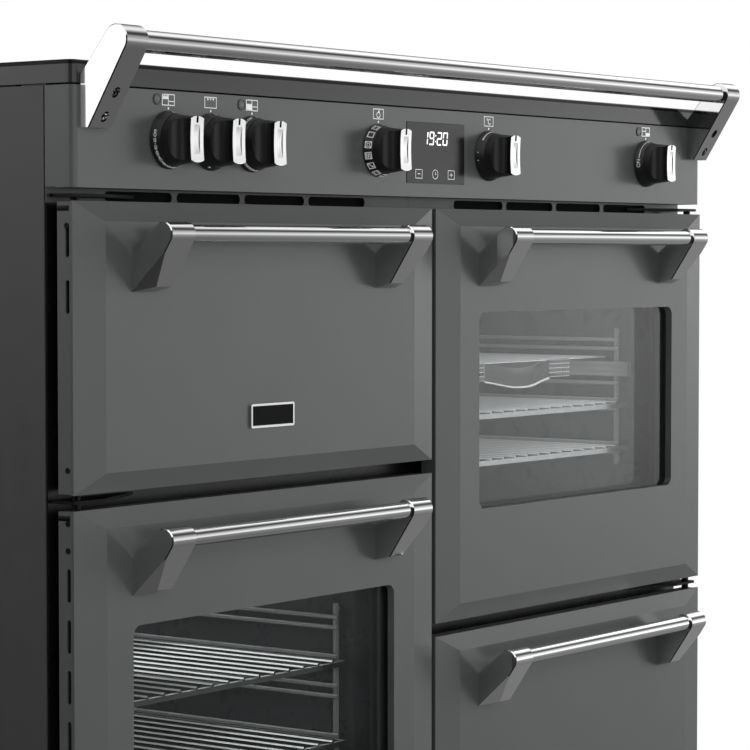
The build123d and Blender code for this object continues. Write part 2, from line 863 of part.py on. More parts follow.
with BuildPart() as rail_bar:
    with BuildSketch(profile_plane(rail_right_x - rail_bracket_width, edge_y, door_top)):
        with Locations((rail_reach, rail_rise)):
            Circle(rail_bar_radius)
    extrude(amount=rail_right_x - rail_left_x - 2 * rail_bracket_width)
write(rail_bar, "rail_bar")

# Doors


def door_panel(oven):
    """A pressed door front: a raised face, wide bevels, a short lip, and a window if the oven is tall."""
    with BuildPart() as panel:
        with BuildSketch(facing(oven.x, edge_y, oven.z)):
            Rectangle(door_width, oven.height)
        with BuildSketch(facing(oven.x, face_y, oven.z)):
            Rectangle(door_width - 2 * bevel_across, oven.height - 2 * bevel_up)
        loft(ruled=True)
        with BuildSketch(facing(oven.x, edge_y, oven.z)):
            Rectangle(door_width, oven.height)
        extrude(amount=-door_lip)
        with BuildSketch(facing(oven.x, edge_y + sheet, oven.z)):
            Rectangle(door_width - 2 * sheet, oven.height - 2 * sheet)
        with BuildSketch(facing(oven.x, face_y + sheet, oven.z)):
            Rectangle(door_width - 2 * bevel_across, oven.height - 2 * bevel_up)
        loft(ruled=True, mode=Mode.SUBTRACT)
        with BuildSketch(facing(oven.x, edge_y + sheet, oven.z)):
            Rectangle(door_width - 2 * sheet, oven.height - 2 * sheet)
        extrude(amount=-door_lip, mode=Mode.SUBTRACT)
        if oven.tall:
            window_z = oven.high - window_drop - window_height / 2
            with BuildSketch(facing(oven.x, face_y, window_z)):
                RectangleRounded(
                    window_width + 2 * sheet, window_height + 2 * sheet, window_radius + sheet
                )
            extrude(amount=-window_return)
            with BuildSketch(facing(oven.x, face_y, window_z)):
                RectangleRounded(window_width, window_height, window_radius)
            extrude(amount=-window_return, mode=Mode.SUBTRACT)
    return panel


def door_liner(oven):
    """The door's inner pan: vented sides, bored hinge bosses, and a raised plug or a window in its back."""
    with BuildPart() as liner:
        with BuildSketch(facing(oven.x, liner_front_y, oven.z)):
            Rectangle(door_width - 2 * liner_inset, oven.height - 2 * liner_inset)
        extrude(amount=-liner_depth)
        offset(amount=-sheet, openings=faces().sort_by(Axis.Y)[0])
        boss_x = oven.side * pivot_x
        liner_high = oven.high - liner_inset
        liner_low = oven.low + liner_inset
        for end, direction in ((liner_high, -1), (liner_low, 1)):
            with BuildSketch(Plane.XY.offset(end)):
                with Locations((boss_x, pivot_y)):
                    Circle(hinge_boss_radius)
            extrude(amount=direction * hinge_boss_height)
            with BuildSketch(Plane.XY.offset(end)):
                with Locations((boss_x, pivot_y)):
                    Circle(pin_radius + running_gap)
            extrude(amount=direction * hinge_boss_height, mode=Mode.SUBTRACT)
        drops = short_vent_drops
        if oven.tall:
            drops = [tall_vent_first + tall_vent_pitch * index for index in range(tall_vent_count)]
        outer_x = oven.side * (half_width - liner_inset)
        with BuildSketch(Plane.YZ.offset(outer_x)):
            with Locations(*[(edge_y + vent_slot_depth, oven.high - drop) for drop in drops]):
                Rectangle(vent_slot_width, vent_slot_length)
            chamfer(vertices(), vent_slot_corner)
        extrude(amount=-oven.side * sheet, mode=Mode.SUBTRACT)
        with BuildSketch(facing(oven.x, liner_back_y, oven.z)):
            plug_width = cavity_width - 2 * plug_margin
            plug_height = oven.cavity_height - 2 * plug_margin
            RectangleRounded(plug_width, plug_height, cavity_radius)
        extrude(amount=-plug_rise)
        with BuildSketch(facing(oven.x, liner_back_y - sheet, oven.z)):
            RectangleRounded(plug_width - 2 * sheet, plug_height - 2 * sheet, cavity_radius - sheet)
        extrude(amount=-plug_rise, mode=Mode.SUBTRACT)
        if oven.tall:
            window_z = oven.high - window_drop - window_height / 2
            with BuildSketch(facing(oven.x, liner_front_y, window_z)):
                opening_width = min(window_width, plug_width - 4 * sheet)
                RectangleRounded(opening_width, window_height, window_radius)
            extrude(amount=-(liner_depth + plug_rise), mode=Mode.SUBTRACT)
    return liner


def door_glass(oven):
    """The outer pane behind the door's window return and the inner pane in the liner's plug."""
    with BuildPart() as glass:
        window_z = oven.high - window_drop - window_height / 2
        with BuildSketch(facing(oven.x, face_y + window_return, window_z)):
            RectangleRounded(window_width + 2 * glass_lap, window_height + 2 * glass_lap, window_radius)
        extrude(amount=-glass_thickness)
        with BuildSketch(facing(oven.x, liner_back_y + plug_rise - sheet, window_z)):
            plug_inside = cavity_width - 2 * plug_margin - 2 * sheet
            pane_width = min(window_width + glass_lap, plug_inside - 2 * seat_gap)
            RectangleRounded(pane_width, window_height + glass_lap, window_radius)
        extrude(amount=glass_thickness)
    return glass


def door_handle(oven):
    """A round bar between two brackets, each swelling from a slanted foot to a round nose."""
    outer_x = handle_length / 2
    inner_x = outer_x - handle_bracket_width
    with BuildPart() as bracket:
        with BuildSketch(profile_plane(oven.x - inner_x, face_y, oven.high)):
            with BuildLine():
                Polyline(
                    (0, -handle_foot_top),
                    (0, -handle_foot_bottom),
                    (handle_toe_reach, handle_toe_lift - handle_foot_bottom),
                )
                CenterArc((handle_reach, -handle_drop), handle_nose_radius, 0, 360)
            make_hull()
        extrude(amount=handle_bracket_width)
        chamfer(edges().filter_by(GeomType.CIRCLE), nose_edge)
        heel = Vector(oven.x - outer_x, face_y, oven.high - handle_foot_bottom)
        toe = Vector(
            oven.x - outer_x + handle_facet_inset,
            face_y - handle_toe_reach,
            oven.high - handle_foot_bottom + handle_toe_lift,
        )
        chin = Vector(oven.x - outer_x, face_y - handle_facet_reach, oven.high - handle_facet_drop)
        facet = Plane(origin=heel, x_dir=chin - heel, z_dir=(toe - heel).cross(chin - heel))
        split(bisect_by=facet, keep=Keep.BOTTOM)
    with BuildPart() as handle:
        add(bracket.part)
        mirror(about=Plane.YZ.offset(oven.x))
        with BuildSketch(profile_plane(oven.x + inner_x, face_y, oven.high)):
            with Locations((handle_reach, -handle_drop)):
                Circle(handle_bar_radius)
        extrude(amount=2 * inner_x)
    return handle


for oven in ovens:
    write(door_panel(oven), f"{oven.name}_door_panel")
    write(door_liner(oven), f"{oven.name}_door_liner")
    write(door_handle(oven), f"{oven.name}_door_handle")
for oven in tall_ovens:
    write(door_glass(oven), f"{oven.name}_door_glass")

with BuildPart() as badge_plate:
    with BuildSketch(facing(grill_oven.x, face_y, grill_oven.high - badge_drop)):
        RectangleRounded(badge_width, badge_height, badge_rim)
    extrude(amount=badge_thickness)
    with BuildSketch(facing(grill_oven.x, face_y - badge_thickness, grill_oven.high - badge_drop)):
        Rectangle(badge_width - 2 * badge_rim, badge_height - 2 * badge_rim)
    extrude(amount=-badge_rim_depth, mode=Mode.SUBTRACT)
write(badge_plate, "badge_plate")

# Hinge brackets with their pins

with BuildPart() as hinge_brackets:
    for upper, lower in ((grill_oven, main_oven), (multi_oven, slow_oven)):
        side = upper.side
        pin_reach = liner_inset + pin_engagement
        middle_z = (upper.low + lower.high) / 2
        strip_y = frame_y - fascia_sheet
        plates = (
            (strip_y, upper.high + hinge_plate_clear + hinge_plate, None, upper.high - pin_reach),
            (frame_y, middle_z + hinge_plate / 2, upper.low + pin_reach, lower.high - pin_reach),
            (frame_y, lower.low - hinge_plate_clear, lower.low + pin_reach, None),
        )
        for seat_y, top_z, pin_high, pin_low in plates:
            outer_x = side * (half_width - hinge_plate_margin)
            inner_end_x = outer_x - side * hinge_plate_length
            nose_y = pivot_y - pin_radius - hinge_plate_nose
            with BuildSketch(Plane.XY.offset(top_z)):
                with BuildLine():
                    Polyline(
                        (outer_x, seat_y),
                        (inner_end_x, seat_y),
                        (outer_x - side * hinge_plate_shoulder, nose_y),
                        (outer_x, nose_y),
                        close=True,
                    )
                make_face()
            extrude(amount=-hinge_plate)
            plate_mid_z = top_z - hinge_plate / 2
            ends = (pin_high or plate_mid_z, pin_low or plate_mid_z)
            with BuildSketch(Plane.XY.offset(min(ends))):
                with Locations((side * pivot_x, pivot_y)):
                    Circle(pin_radius)
            extrude(amount=max(ends) - min(ends))
write(hinge_brackets, "hinge_brackets")

# Moving pieces inside the ovens


def oven_fan(oven):
    """A radial-bladed impeller on its shaft, which runs in the motor behind the cavity."""
    with BuildPart() as fan:
        disc_back_y = oven.back_y - fan_wall_gap
        with BuildSketch(facing(oven.x, disc_back_y, oven.z)):
            Circle(fan_radius)
        extrude(amount=fan_disc)
        with BuildSketch(facing(oven.x, disc_back_y - fan_disc, oven.z)):
            with PolarLocations(fan_radius - fan_blade_length / 2, fan_blade_count):
                Rectangle(fan_blade_length, fan_blade_thickness)
            Circle(fan_hub_radius)
        extrude(amount=fan_blade_height)
        with BuildSketch(facing(oven.x, disc_back_y, oven.z)):
            Circle(fan_shaft_radius)
        extrude(amount=-(fan_wall_gap + sheet + fan_shaft_length))
    return fan


def oven_shelf(oven, drop):
    """A wire shelf: side bars that slide in the ladders' guides, end bars, and wires across the ends."""
    guide_top = oven.high - drop - guide_spacing / 2 + ladder_wire / 2 / cos(radians(30))
    bar_z = guide_top + seat_gap + shelf_rim / 2
    front_y = frame_back_y + shelf_front
    side_x = guide_x + ladder_wire / 2 - shelf_side_gap - shelf_rim / 2
    with BuildPart() as shelf:
        with BuildSketch(facing(oven.x, front_y, bar_z)):
            with GridLocations(2 * side_x, 1, 2, 1):
                Rectangle(shelf_rim, shelf_rim)
        extrude(amount=-shelf_depth)
        with BuildSketch(Plane.YZ.offset(oven.x - side_x)):
            with Locations((front_y + shelf_depth / 2, bar_z)):
                with GridLocations(shelf_depth - shelf_rim, 1, 2, 1):
                    Rectangle(shelf_rim, shelf_rim)
        extrude(amount=2 * side_x)
        with BuildSketch(facing(oven.x, front_y, bar_z + (shelf_rim + shelf_wire) / 2)):
            with GridLocations(shelf_wire_pitch, 1, shelf_wire_count, 1):
                Rod(shelf_wire, rotation=30)
        extrude(amount=-shelf_depth)
    return shelf


shelf_levels = (
    (main_oven, "upper", 1),
    (main_oven, "lower", 3),
    (multi_oven, "upper", 2),
    (multi_oven, "lower", 3),
)
for oven, level, guide in shelf_levels:
    write(oven_shelf(oven, guide_drops[guide]), f"{oven.name}_{level}_shelf")
for oven in tall_ovens:
    write(oven_fan(oven), f"{oven.name}_fan")
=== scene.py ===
"""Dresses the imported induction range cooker: finishes, printed marks, small fittings and the studio."""
import json
import math

import bpy
from bpy.props import FloatProperty, FloatVectorProperty, IntProperty, PointerProperty, StringProperty
from mathutils import Matrix, Vector

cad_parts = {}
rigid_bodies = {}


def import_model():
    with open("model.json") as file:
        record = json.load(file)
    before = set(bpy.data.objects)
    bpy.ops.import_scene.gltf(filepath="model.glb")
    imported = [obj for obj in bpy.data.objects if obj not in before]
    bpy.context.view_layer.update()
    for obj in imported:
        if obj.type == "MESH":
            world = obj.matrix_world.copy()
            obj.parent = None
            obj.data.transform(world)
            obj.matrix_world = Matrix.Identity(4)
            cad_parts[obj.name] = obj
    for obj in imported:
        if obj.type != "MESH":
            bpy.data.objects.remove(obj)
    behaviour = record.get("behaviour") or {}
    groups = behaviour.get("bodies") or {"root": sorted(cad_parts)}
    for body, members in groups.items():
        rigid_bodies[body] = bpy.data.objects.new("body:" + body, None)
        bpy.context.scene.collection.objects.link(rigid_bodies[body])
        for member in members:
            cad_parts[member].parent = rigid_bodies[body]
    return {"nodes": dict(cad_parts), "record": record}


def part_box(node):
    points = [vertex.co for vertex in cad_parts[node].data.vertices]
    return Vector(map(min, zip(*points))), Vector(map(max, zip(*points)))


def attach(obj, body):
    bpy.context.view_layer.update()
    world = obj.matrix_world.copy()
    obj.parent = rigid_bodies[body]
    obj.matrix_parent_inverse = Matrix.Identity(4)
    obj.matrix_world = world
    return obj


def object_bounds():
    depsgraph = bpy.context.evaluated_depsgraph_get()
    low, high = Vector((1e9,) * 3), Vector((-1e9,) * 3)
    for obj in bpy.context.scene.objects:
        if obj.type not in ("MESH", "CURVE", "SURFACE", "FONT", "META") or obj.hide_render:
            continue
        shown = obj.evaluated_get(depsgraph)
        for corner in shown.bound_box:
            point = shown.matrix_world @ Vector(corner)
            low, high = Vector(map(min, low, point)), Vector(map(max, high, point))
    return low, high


bl_info = {
    "name": "Range cooker dressing",
    "version": (1, 0, 0),
    "blender": (4, 5, 0),
    "location": "3D View > Sidebar > Cooker",
    "description": "Finishes, printed marks, small fittings and a studio for the packed range cooker",
    "category": "Object",
}

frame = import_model()
cad_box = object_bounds()

MM = 0.001
WHITE = (1.0, 1.0, 1.0)
KNOBS = ("knob_1", "knob_2", "knob_3", "knob_4", "knob_5", "knob_6")


def corners(node):
    """A node's lowest and highest corners at rest."""
    low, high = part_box(node)
    return Vector(low), Vector(high)


FASCIA_LOW, FASCIA_HIGH = corners("fascia_panel")
DOOR_TOP = corners("grill_door_panel")[1].z
FASCIA_FRONT = FASCIA_LOW.y
HOB_UNDERSIDE = corners("hob_frame")[0].z
DISPLAY_LOW, DISPLAY_HIGH = corners("display_window")


def math_step(operation, swapped=False):
    """A method that adds a Math node to its strand's tree."""
    def step(self, *other):
        values = (*other, self) if swapped else (self, *other)
        return self.finish.node("ShaderNodeMath", {"operation": operation}, dict(enumerate(values)))
    return step


class Strand:
    """A node socket that takes part in Python expressions, each of which adds a Math node."""

    def __init__(self, finish, socket):
        self.finish = finish
        self.socket = socket

    __add__ = math_step("ADD")
    __radd__ = math_step("ADD", swapped=True)
    __sub__ = math_step("SUBTRACT")
    __rsub__ = math_step("SUBTRACT", swapped=True)
    __mul__ = math_step("MULTIPLY")
    __rmul__ = math_step("MULTIPLY", swapped=True)
    __truediv__ = math_step("DIVIDE")
    __rtruediv__ = math_step("DIVIDE", swapped=True)
    __gt__ = math_step("GREATER_THAN")
    __lt__ = math_step("LESS_THAN")
    __abs__ = math_step("ABSOLUTE")
    most = math_step("MAXIMUM")


class Finish:
    """A node tree under construction, for one material or for the world."""

    def __init__(self, tree, ending="ShaderNodeOutputMaterial"):
        self.tree = tree
        self.ending = ending
        tree.nodes.clear()

    def node(self, kind, settings=None, values=None, out=0):
        """Adds a node: its settings first, with a ramp's stops as greys, then its values or links."""
        made = self.tree.nodes.new(kind)
        for key, value in (settings or {}).items():
            if key == "stops":
                while len(made.color_ramp.elements) < len(value):
                    made.color_ramp.elements.new(0.5)
                for element, (place, level) in zip(made.color_ramp.elements, value):
                    element.position = place
                    element.color = (*grey(level), 1.0)
            else:
                setattr(made, key, value)
        for key, value in (values or {}).items():
            if isinstance(value, Strand):
                self.tree.links.new(value.socket, made.inputs[key])
            else:
                made.inputs[key].default_value = value
        return Strand(self, made.outputs[out]) if len(made.outputs) else None

    def split(self, vector):
        """A vector's x, y and z, each a value."""
        made = self.node("ShaderNodeSeparateXYZ", None, {0: vector}).socket.node
        return tuple(Strand(self, made.outputs[i]) for i in range(3))

    def place(self):
        """The point on the surface, in the frame's own metres."""
        return self.node("ShaderNodeTexCoord", out="Object")

    def axes(self):
        """The surface point's x, y and z."""
        return self.split(self.place())

    def facing(self):
        """The surface normal's x, y and z."""
        return self.split(self.node("ShaderNodeNewGeometry", out="Normal"))

    def rays(self, *kinds):
        """Whether the ray is of each of these kinds, each a value."""
        outs = self.node("ShaderNodeLightPath").socket.node.outputs
        return tuple(Strand(self, outs[f"Is {kind} Ray"]) for kind in kinds)

    def noise(self, scale, detail=3.0, rough=0.5, stretch=(1.0, 1.0, 1.0)):
        """A soft grey pattern, with its scale in turns per metre."""
        where = self.node("ShaderNodeMapping", None, {"Vector": self.place(), "Scale": stretch})
        return self.node(
            "ShaderNodeTexNoise", None,
            {"Vector": where, "Scale": scale, "Detail": detail, "Roughness": rough})

    def remap(self, value, low, high, out_low=0.0, out_high=1.0):
        """Carries a value from one range to another and stops it at the ends."""
        return self.node(
            "ShaderNodeMapRange", {"clamp": True},
            {"Value": value, "From Min": low, "From Max": high, "To Min": out_low, "To Max": out_high})

    def tint(self, mask, first, second):
        """A colour between two colours, by a mask."""
        solid = [c if isinstance(c, Strand) else (*c, 1.0) for c in (first, second)]
        return self.node(
            "ShaderNodeMix", {"data_type": "RGBA"}, {0: mask, 6: solid[0], 7: solid[1]}, out=2)

    def uneven(self, mask, colour, share):
        """A colour that a pattern dulls in places to a share of itself."""
        return self.tint(mask, shade(colour, share), colour)

    def bump(self, height, strength, distance):
        """A surface normal raised by a height."""
        return self.node(
            "ShaderNodeBump", None, {"Height": height, "Strength": strength, "Distance": distance})

    def close(self, shader):
        """Ends the tree in its output."""
        self.node(self.ending, None, {"Surface": shader})

    def surface(self, **values):
        """The main shader, with its sockets given by name."""
        sockets = {name.replace("_", " "): value for name, value in values.items()}
        return self.node("ShaderNodeBsdfPrincipled", None, sockets)

    def cover(self, **values):
        """Ends the tree in the main shader, with its sockets given by name."""
        self.close(self.surface(**values))


def grey(level):
    """A colour without hue."""
    return (level, level, level)


def shade(colour, share):
    """A colour made darker or paler."""
    return tuple(c * share for c in colour)


def new_finish(name):
    """A fresh material and the tree that builds it."""
    material = bpy.data.materials.new(name)
    material.use_nodes = True
    return material, Finish(material.node_tree)


def mottle(f, colour, fleck):
    """Sprayed colour with a breath of mottling."""
    return f.tint(f.noise(14.0), shade(colour, 1.0 - fleck), shade(colour, 1.0 + fleck))


def sheen(f, roughness):
    """The satin of sprayed paint, which drifts a little."""
    return f.remap(f.noise(60.0), 0.3, 0.7, roughness - 0.03, roughness + 0.03)


def orange_peel(f):
    """The fine ripple of sprayed paint."""
    return f.bump(f.noise(900.0, 2.0), 0.05, 0.0002)


def satin_paint(f, colour, roughness, fleck=0.06):
    """Sprayed paint over steel."""
    f.cover(Base_Color=mottle(f, colour, fleck), Roughness=sheen(f, roughness), Normal=orange_peel(f))


def fascia_paint(f, colour, hob_paint_and_strip_shade, roughness, dark):
    """The front's satin paint, darker and glossier on the hob's frame, with the vent strip's seam; the
    recessed vent strip takes the hob's darker colour as painted shade.
    """
    x, y, z = f.axes()
    # painted shade: the recessed vent strip below the fascia gets the hob's darker colour, standing in for
    # the shade that falls there
    strip = (z < DOOR_TOP + STRIP_TOP) * (y > FASCIA_FRONT + STRIP_SETBACK)
    seam = strip * (abs(x - STRIP_SEAM) < SEAM_HALF)
    hob = z > HOB_UNDERSIDE - HOB_EASE
    paint = mottle(f, colour, FASCIA_FLECK)
    f.cover(
        Base_Color=f.tint(seam, f.tint(hob.most(strip), paint, hob_paint_and_strip_shade), dark),
        Roughness=sheen(f, roughness) * (1.0 - hob * HOB_GLOSS),
        Normal=orange_peel(f))


FASCIA_FLECK = 0.05
STRIP_TOP = 13.0 * MM
STRIP_SETBACK = 20.0 * MM
STRIP_SEAM = -3.5 * MM
SEAM_HALF = 1.0 * MM
HOB_EASE = 0.5 * MM
HOB_GLOSS = 0.6


def bright_metal(f, colour, roughness):
    """Polished plating: nearly a mirror, with faint wiping marks that run along the bars."""
    wipe = f.noise(420.0, 4.0, 0.6, (0.08, 1.0, 1.0))
    f.cover(
        Base_Color=f.uneven(f.noise(22.0, 2.0), colour, 0.96),
        Metallic=1.0,
        Roughness=f.remap(wipe, 0.3, 0.75, roughness, roughness + 0.02),
        Normal=f.bump(wipe, 0.02, 0.0001))


def plain_metal(f, colour, roughness):
    """Mill-finished or plated sheet: cloudy colour and uneven gloss."""
    cloud = f.noise(160.0, 4.0)
    f.cover(
        Base_Color=f.uneven(cloud, colour, 0.85),
        Metallic=1.0,
        Roughness=f.remap(cloud, 0.25, 0.75, roughness - 0.05, roughness + 0.05),
        Normal=f.bump(cloud, 0.04, 0.0003))


def enamel(f, colour, roughness, fleck_colour):
    """Vitreous enamel: glossy, with small pale flecks fired into it."""
    fleck = f.remap(f.noise(1400.0, 1.0), 0.66, 0.72)
    f.cover(
        Base_Color=f.tint(fleck, colour, fleck_colour),
        Roughness=f.remap(f.noise(40.0), 0.3, 0.7, roughness, roughness + 0.08),
        Normal=f.bump(f.noise(120.0, 2.0), 0.05, 0.0004))


def moulded(f, colour, roughness):
    """Moulded plastic or rubber with a fine spark-eroded texture."""
    grain = f.noise(700.0, 2.0)
    f.cover(
        Base_Color=f.uneven(f.noise(30.0), colour, 0.85),
        Roughness=f.remap(grain, 0.3, 0.7, roughness - 0.05, roughness + 0.05),
        Normal=f.bump(grain, 0.08, 0.0002))


def pane(f, tint_colour, ior):
    """A sheet of tinted glass: clear through, with a mirror's share that grows towards its edge."""
    through = f.node("ShaderNodeBsdfTransparent", None, {"Color": (*tint_colour, 1.0)})
    shine = f.node(
        "ShaderNodeBsdfAnisotropic", None,
        {"Color": (*WHITE, 1.0), "Roughness": f.remap(f.noise(9.0), 0.35, 0.7, 0.01, 0.03)})
    outer = 1.0 - f.node("ShaderNodeNewGeometry", out="Backfacing")
    share = f.node("ShaderNodeFresnel", None, {"IOR": ior}) * outer
    f.close(f.node("ShaderNodeMixShader", None, {0: share, 1: through, 2: shine}))


def ceramic(f, colour, speck):
    """The hob's black glass: a deep gloss with fine dots printed under it."""
    dots = f.node("ShaderNodeTexVoronoi", None, {"Vector": f.place(), "Scale": 420.0})
    f.cover(
        Base_Color=f.tint(dots < 0.12, colour, speck),
        Roughness=f.remap(f.noise(12.0), 0.35, 0.7, 0.05, 0.09),
        IOR=1.2)


def printed(f, colour, glow=0.0):
    """Screen-printed ink, a little uneven, or a lit segment where it glows."""
    ink = f.noise(500.0, 2.0)
    lit = {"Emission_Color": f.uneven(ink, colour, 0.95), "Emission_Strength": glow} if glow else {}
    f.cover(Base_Color=f.uneven(ink, colour, 0.9), Roughness=f.remap(ink, 0.3, 0.7, 0.45, 0.6), **lit)


def badge_finish(f, colour, field):
    """The blank badge: a bright frame round a black field."""
    low, high = corners("badge_plate")
    middle = (low + high) / 2
    half = (high - low) / 2
    x, y, z = f.axes()
    inner = (abs(x - middle.x) < half.x - BADGE_RIM) * (abs(z - middle.z) < half.z - BADGE_RIM)
    dark = inner * (y > low.y + BADGE_FIELD_DEPTH)
    f.cover(
        Base_Color=f.tint(dark, colour, field),
        Metallic=1.0 - dark,
        Roughness=f.remap(f.noise(300.0), 0.3, 0.7, 0.1, 0.2),
        IOR=1.12)


BADGE_RIM = 2.1 * MM
BADGE_FIELD_DEPTH = 0.3 * MM


def upright_wipe(f):
    """Faint wiping marks that run up and down."""
    return f.noise(420.0, 4.0, 0.6, (1.0, 1.0, 0.08))


def grip_finish(f, colour, dark):
    """The knob's bright cap: plated on its face, with dark sides and a dark notch."""
    front = corners("knob_1_grip")[0].y
    ahead = f.facing()[1] < -GRIP_FACE
    plated = ahead * (f.axes()[1] < front + GRIP_NOTCH)
    wipe = upright_wipe(f)
    f.cover(
        Base_Color=f.tint(plated, dark, f.uneven(wipe, colour, 0.96)),
        Metallic=plated * GRIP_PLATING,
        Roughness=f.remap(wipe, 0.3, 0.75, 0.14, 0.18))


GRIP_FACE = 0.6
GRIP_NOTCH = 1.9 * MM
GRIP_PLATING = 0.7


def bracket_finish(f, colour):
    """The hand rail's brackets: polished, with the outer face at the cooker's left end painted white and
    partly diffuse, a painted reflection of the white studio.
    """
    # painted reflection: the left bracket's outer face is painted white in place of the white studio that
    # it would mirror
    satin = f.axes()[0] < corners("rail_brackets")[0].x + BRACKET_SKIN
    wipe = upright_wipe(f)
    f.cover(
        Base_Color=f.tint(satin, f.uneven(wipe, colour, 0.95), WHITE),
        Metallic=1.0 - satin * PAINTED_REFLECTION_SHARE,
        Roughness=f.remap(wipe, 0.3, 0.75, 0.05, 0.07))


# how deep the painted reflection's face reaches, and the share by which it turns that face from metal to
# diffuse white
BRACKET_SKIN = 0.1 * MM
PAINTED_REFLECTION_SHARE = 0.3


def wire_plating_painted_highlight(f, colour, flank):
    """Plated oven wire, with a painted highlight along its top and painted shade round its flanks,
    standing in for how the oven's lamps light it.
    """
    # painted highlight and shade: the colour runs from the shaded flank colour to the bright colour as the
    # normal turns upwards
    top = f.remap(f.facing()[2], *PAINTED_HIGHLIGHT_RISE)
    haze = f.noise(90.0)
    f.cover(
        Base_Color=f.tint(top, flank, f.uneven(haze, colour, 0.9)),
        Metallic=f.remap(haze, 0.3, 0.7, 0.35, 0.45),
        Roughness=f.remap(haze, 0.3, 0.7, 0.15, 0.25))


# how far up a normal points where the painted shade on the flank ends and where the painted highlight on
# the top is full
PAINTED_HIGHLIGHT_RISE = (0.05, 0.4)


def heating_rod(f, colour):
    """Sheathed heating rod: dull oxidised steel with heat bands."""
    band = f.noise(35.0, 2.0)
    f.cover(
        Base_Color=f.uneven(band, colour, 0.6),
        Metallic=f.remap(band, 0.3, 0.7, 0.5, 0.8),
        Roughness=f.remap(f.noise(300.0), 0.3, 0.7, 0.45, 0.6))


def wound_copper(f, colour):
    """Flat-wound litz wire: copper rings with dark gaps between the turns."""
    strands = f.noise(600.0, 2.0)
    f.cover(
        Base_Color=f.uneven(strands, colour, 0.35),
        Metallic=1.0,
        Roughness=f.remap(strands, 0.3, 0.7, 0.3, 0.5),
        Normal=f.bump(strands, 0.3, 0.0005))


def settings():
    """The sizes and colours that the panel shows."""
    return bpy.context.scene.cooker


def pick(piece):
    """Makes one object the only one selected, and active."""
    bpy.ops.object.select_all(action="DESELECT")
    piece.select_set(True)
    bpy.context.view_layer.objects.active = piece


def open_piece(name):
    """Opens an empty mesh at the origin for modelling in edit mode."""
    piece = bpy.data.objects.new(name, bpy.data.meshes.new(name))
    bpy.context.scene.collection.objects.link(piece)
    pick(piece)
    bpy.ops.object.mode_set(mode="EDIT")
    return piece


def leave_edit():
    """Goes back to object mode."""
    if bpy.context.mode != "OBJECT":
        bpy.ops.object.mode_set(mode="OBJECT")


def close_piece(piece, body, finish, smooth=None):
    """Leaves edit mode, gives the piece its finish and hangs it on its body."""
    leave_edit()
    piece.data.materials.clear()
    piece.data.materials.append(finish_for(finish))
    if smooth is not None:
        pick(piece)
        bpy.ops.object.shade_smooth_by_angle(angle=math.radians(smooth))
    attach(piece, body)
    if not piece.data.polygons:
        raise RuntimeError(f"{piece.name} came out empty")


def apply_modifier(piece, kind, **values):
    """Leaves edit mode, and gives the piece one modifier and applies it."""
    leave_edit()
    pick(piece)
    step = piece.modifiers.new("step", kind)
    for key, value in values.items():
        setattr(step, key, value)
    bpy.ops.object.modifier_apply(modifier=step.name)


def thicken(piece, thickness):
    """Gives a flat print or sheet its body, from its face inwards."""
    apply_modifier(piece, "SOLIDIFY", thickness=thickness, offset=-1.0)


def front_plane(x, y, z):
    """A drawing plane that faces the front, with its zero at a point: across is +X, up is +Z."""
    return Matrix(((1, 0, 0, x), (0, 0, -1, y), (0, 1, 0, z), (0, 0, 0, 1)))


def skirt_plane(knob, turn, lift):
    """A drawing plane on a knob's conical skirt, at a turn clockwise from the top: up is outwards."""
    low, high = corners(f"{knob}_body")
    base = (high.x - low.x) / 2
    run = base - SKIRT_FRONT_RADIUS
    slant = math.hypot(run, SKIRT_DEPTH)
    back = Vector((0.0, 1.0, 0.0))
    radial = Vector((math.sin(turn), 0.0, math.cos(turn)))
    across = Vector((math.cos(turn), 0.0, -math.sin(turn)))
    up = radial * (run / slant) + back * (SKIRT_DEPTH / slant)
    out = radial * (SKIRT_DEPTH / slant) - back * (run / slant)
    axis = Vector((
        (low.x + high.x) / 2, FASCIA_FRONT - KNOB_STAND_OFF - SKIRT_DEPTH / 2, (low.z + high.z) / 2))
    place = Matrix((across, up, out)).transposed().to_4x4()
    place.translation = axis + radial * ((base + SKIRT_FRONT_RADIUS) / 2) + out * lift
    return place


SKIRT_DEPTH = 9.6 * MM
SKIRT_FRONT_RADIUS = 23.8 * MM
KNOB_STAND_OFF = 1.0 * MM


def draw_bar(plane, x, y, width, height, turn=0.0):
    """Draws a flat strip on a plane, in millimetres, in the open mesh."""
    place = plane @ Matrix.Translation((x * MM, y * MM, 0)) @ Matrix.Rotation(turn, 4, "Z")
    bpy.ops.mesh.primitive_plane_add(
        size=1.0, location=place.translation, rotation=place.to_euler())
    bpy.ops.transform.resize(
        value=(width * MM, height * MM, 1.0), orient_type="GLOBAL", orient_matrix=place.to_3x3(),
        orient_matrix_type="GLOBAL", center_override=place.translation)


def draw_disc(plane, x, y, radius, sides=20):
    """Draws a flat round dot on a plane, in millimetres, in the open mesh."""
    place = plane @ Matrix.Translation((x * MM, y * MM, 0))
    bpy.ops.mesh.primitive_circle_add(
        vertices=sides, radius=radius * MM, fill_type="NGON",
        location=place.translation, rotation=place.to_euler())


def draw_arc(plane, x, y, radius, line, start, sweep, parts):
    """Draws a curved line as short strips, clockwise from the top, with its angles in degrees."""
    step = math.radians(sweep) / parts
    chord = 2 * radius * math.sin(abs(step) / 2) + line * ARC_LAP
    for i in range(parts):
        turn = math.radians(start) + step * (i + 0.5)
        draw_bar(plane, x + radius * math.sin(turn), y + radius * math.cos(turn), chord, line, -turn)


def draw_frame(plane, width, height, line):
    """Draws a rectangle's outline round a plane's zero."""
    for side in (-1, 1):
        draw_bar(plane, side * (width - line) / 2, 0, line, height)
        draw_bar(plane, 0, side * (height - line) / 2, width - 2 * line, line)


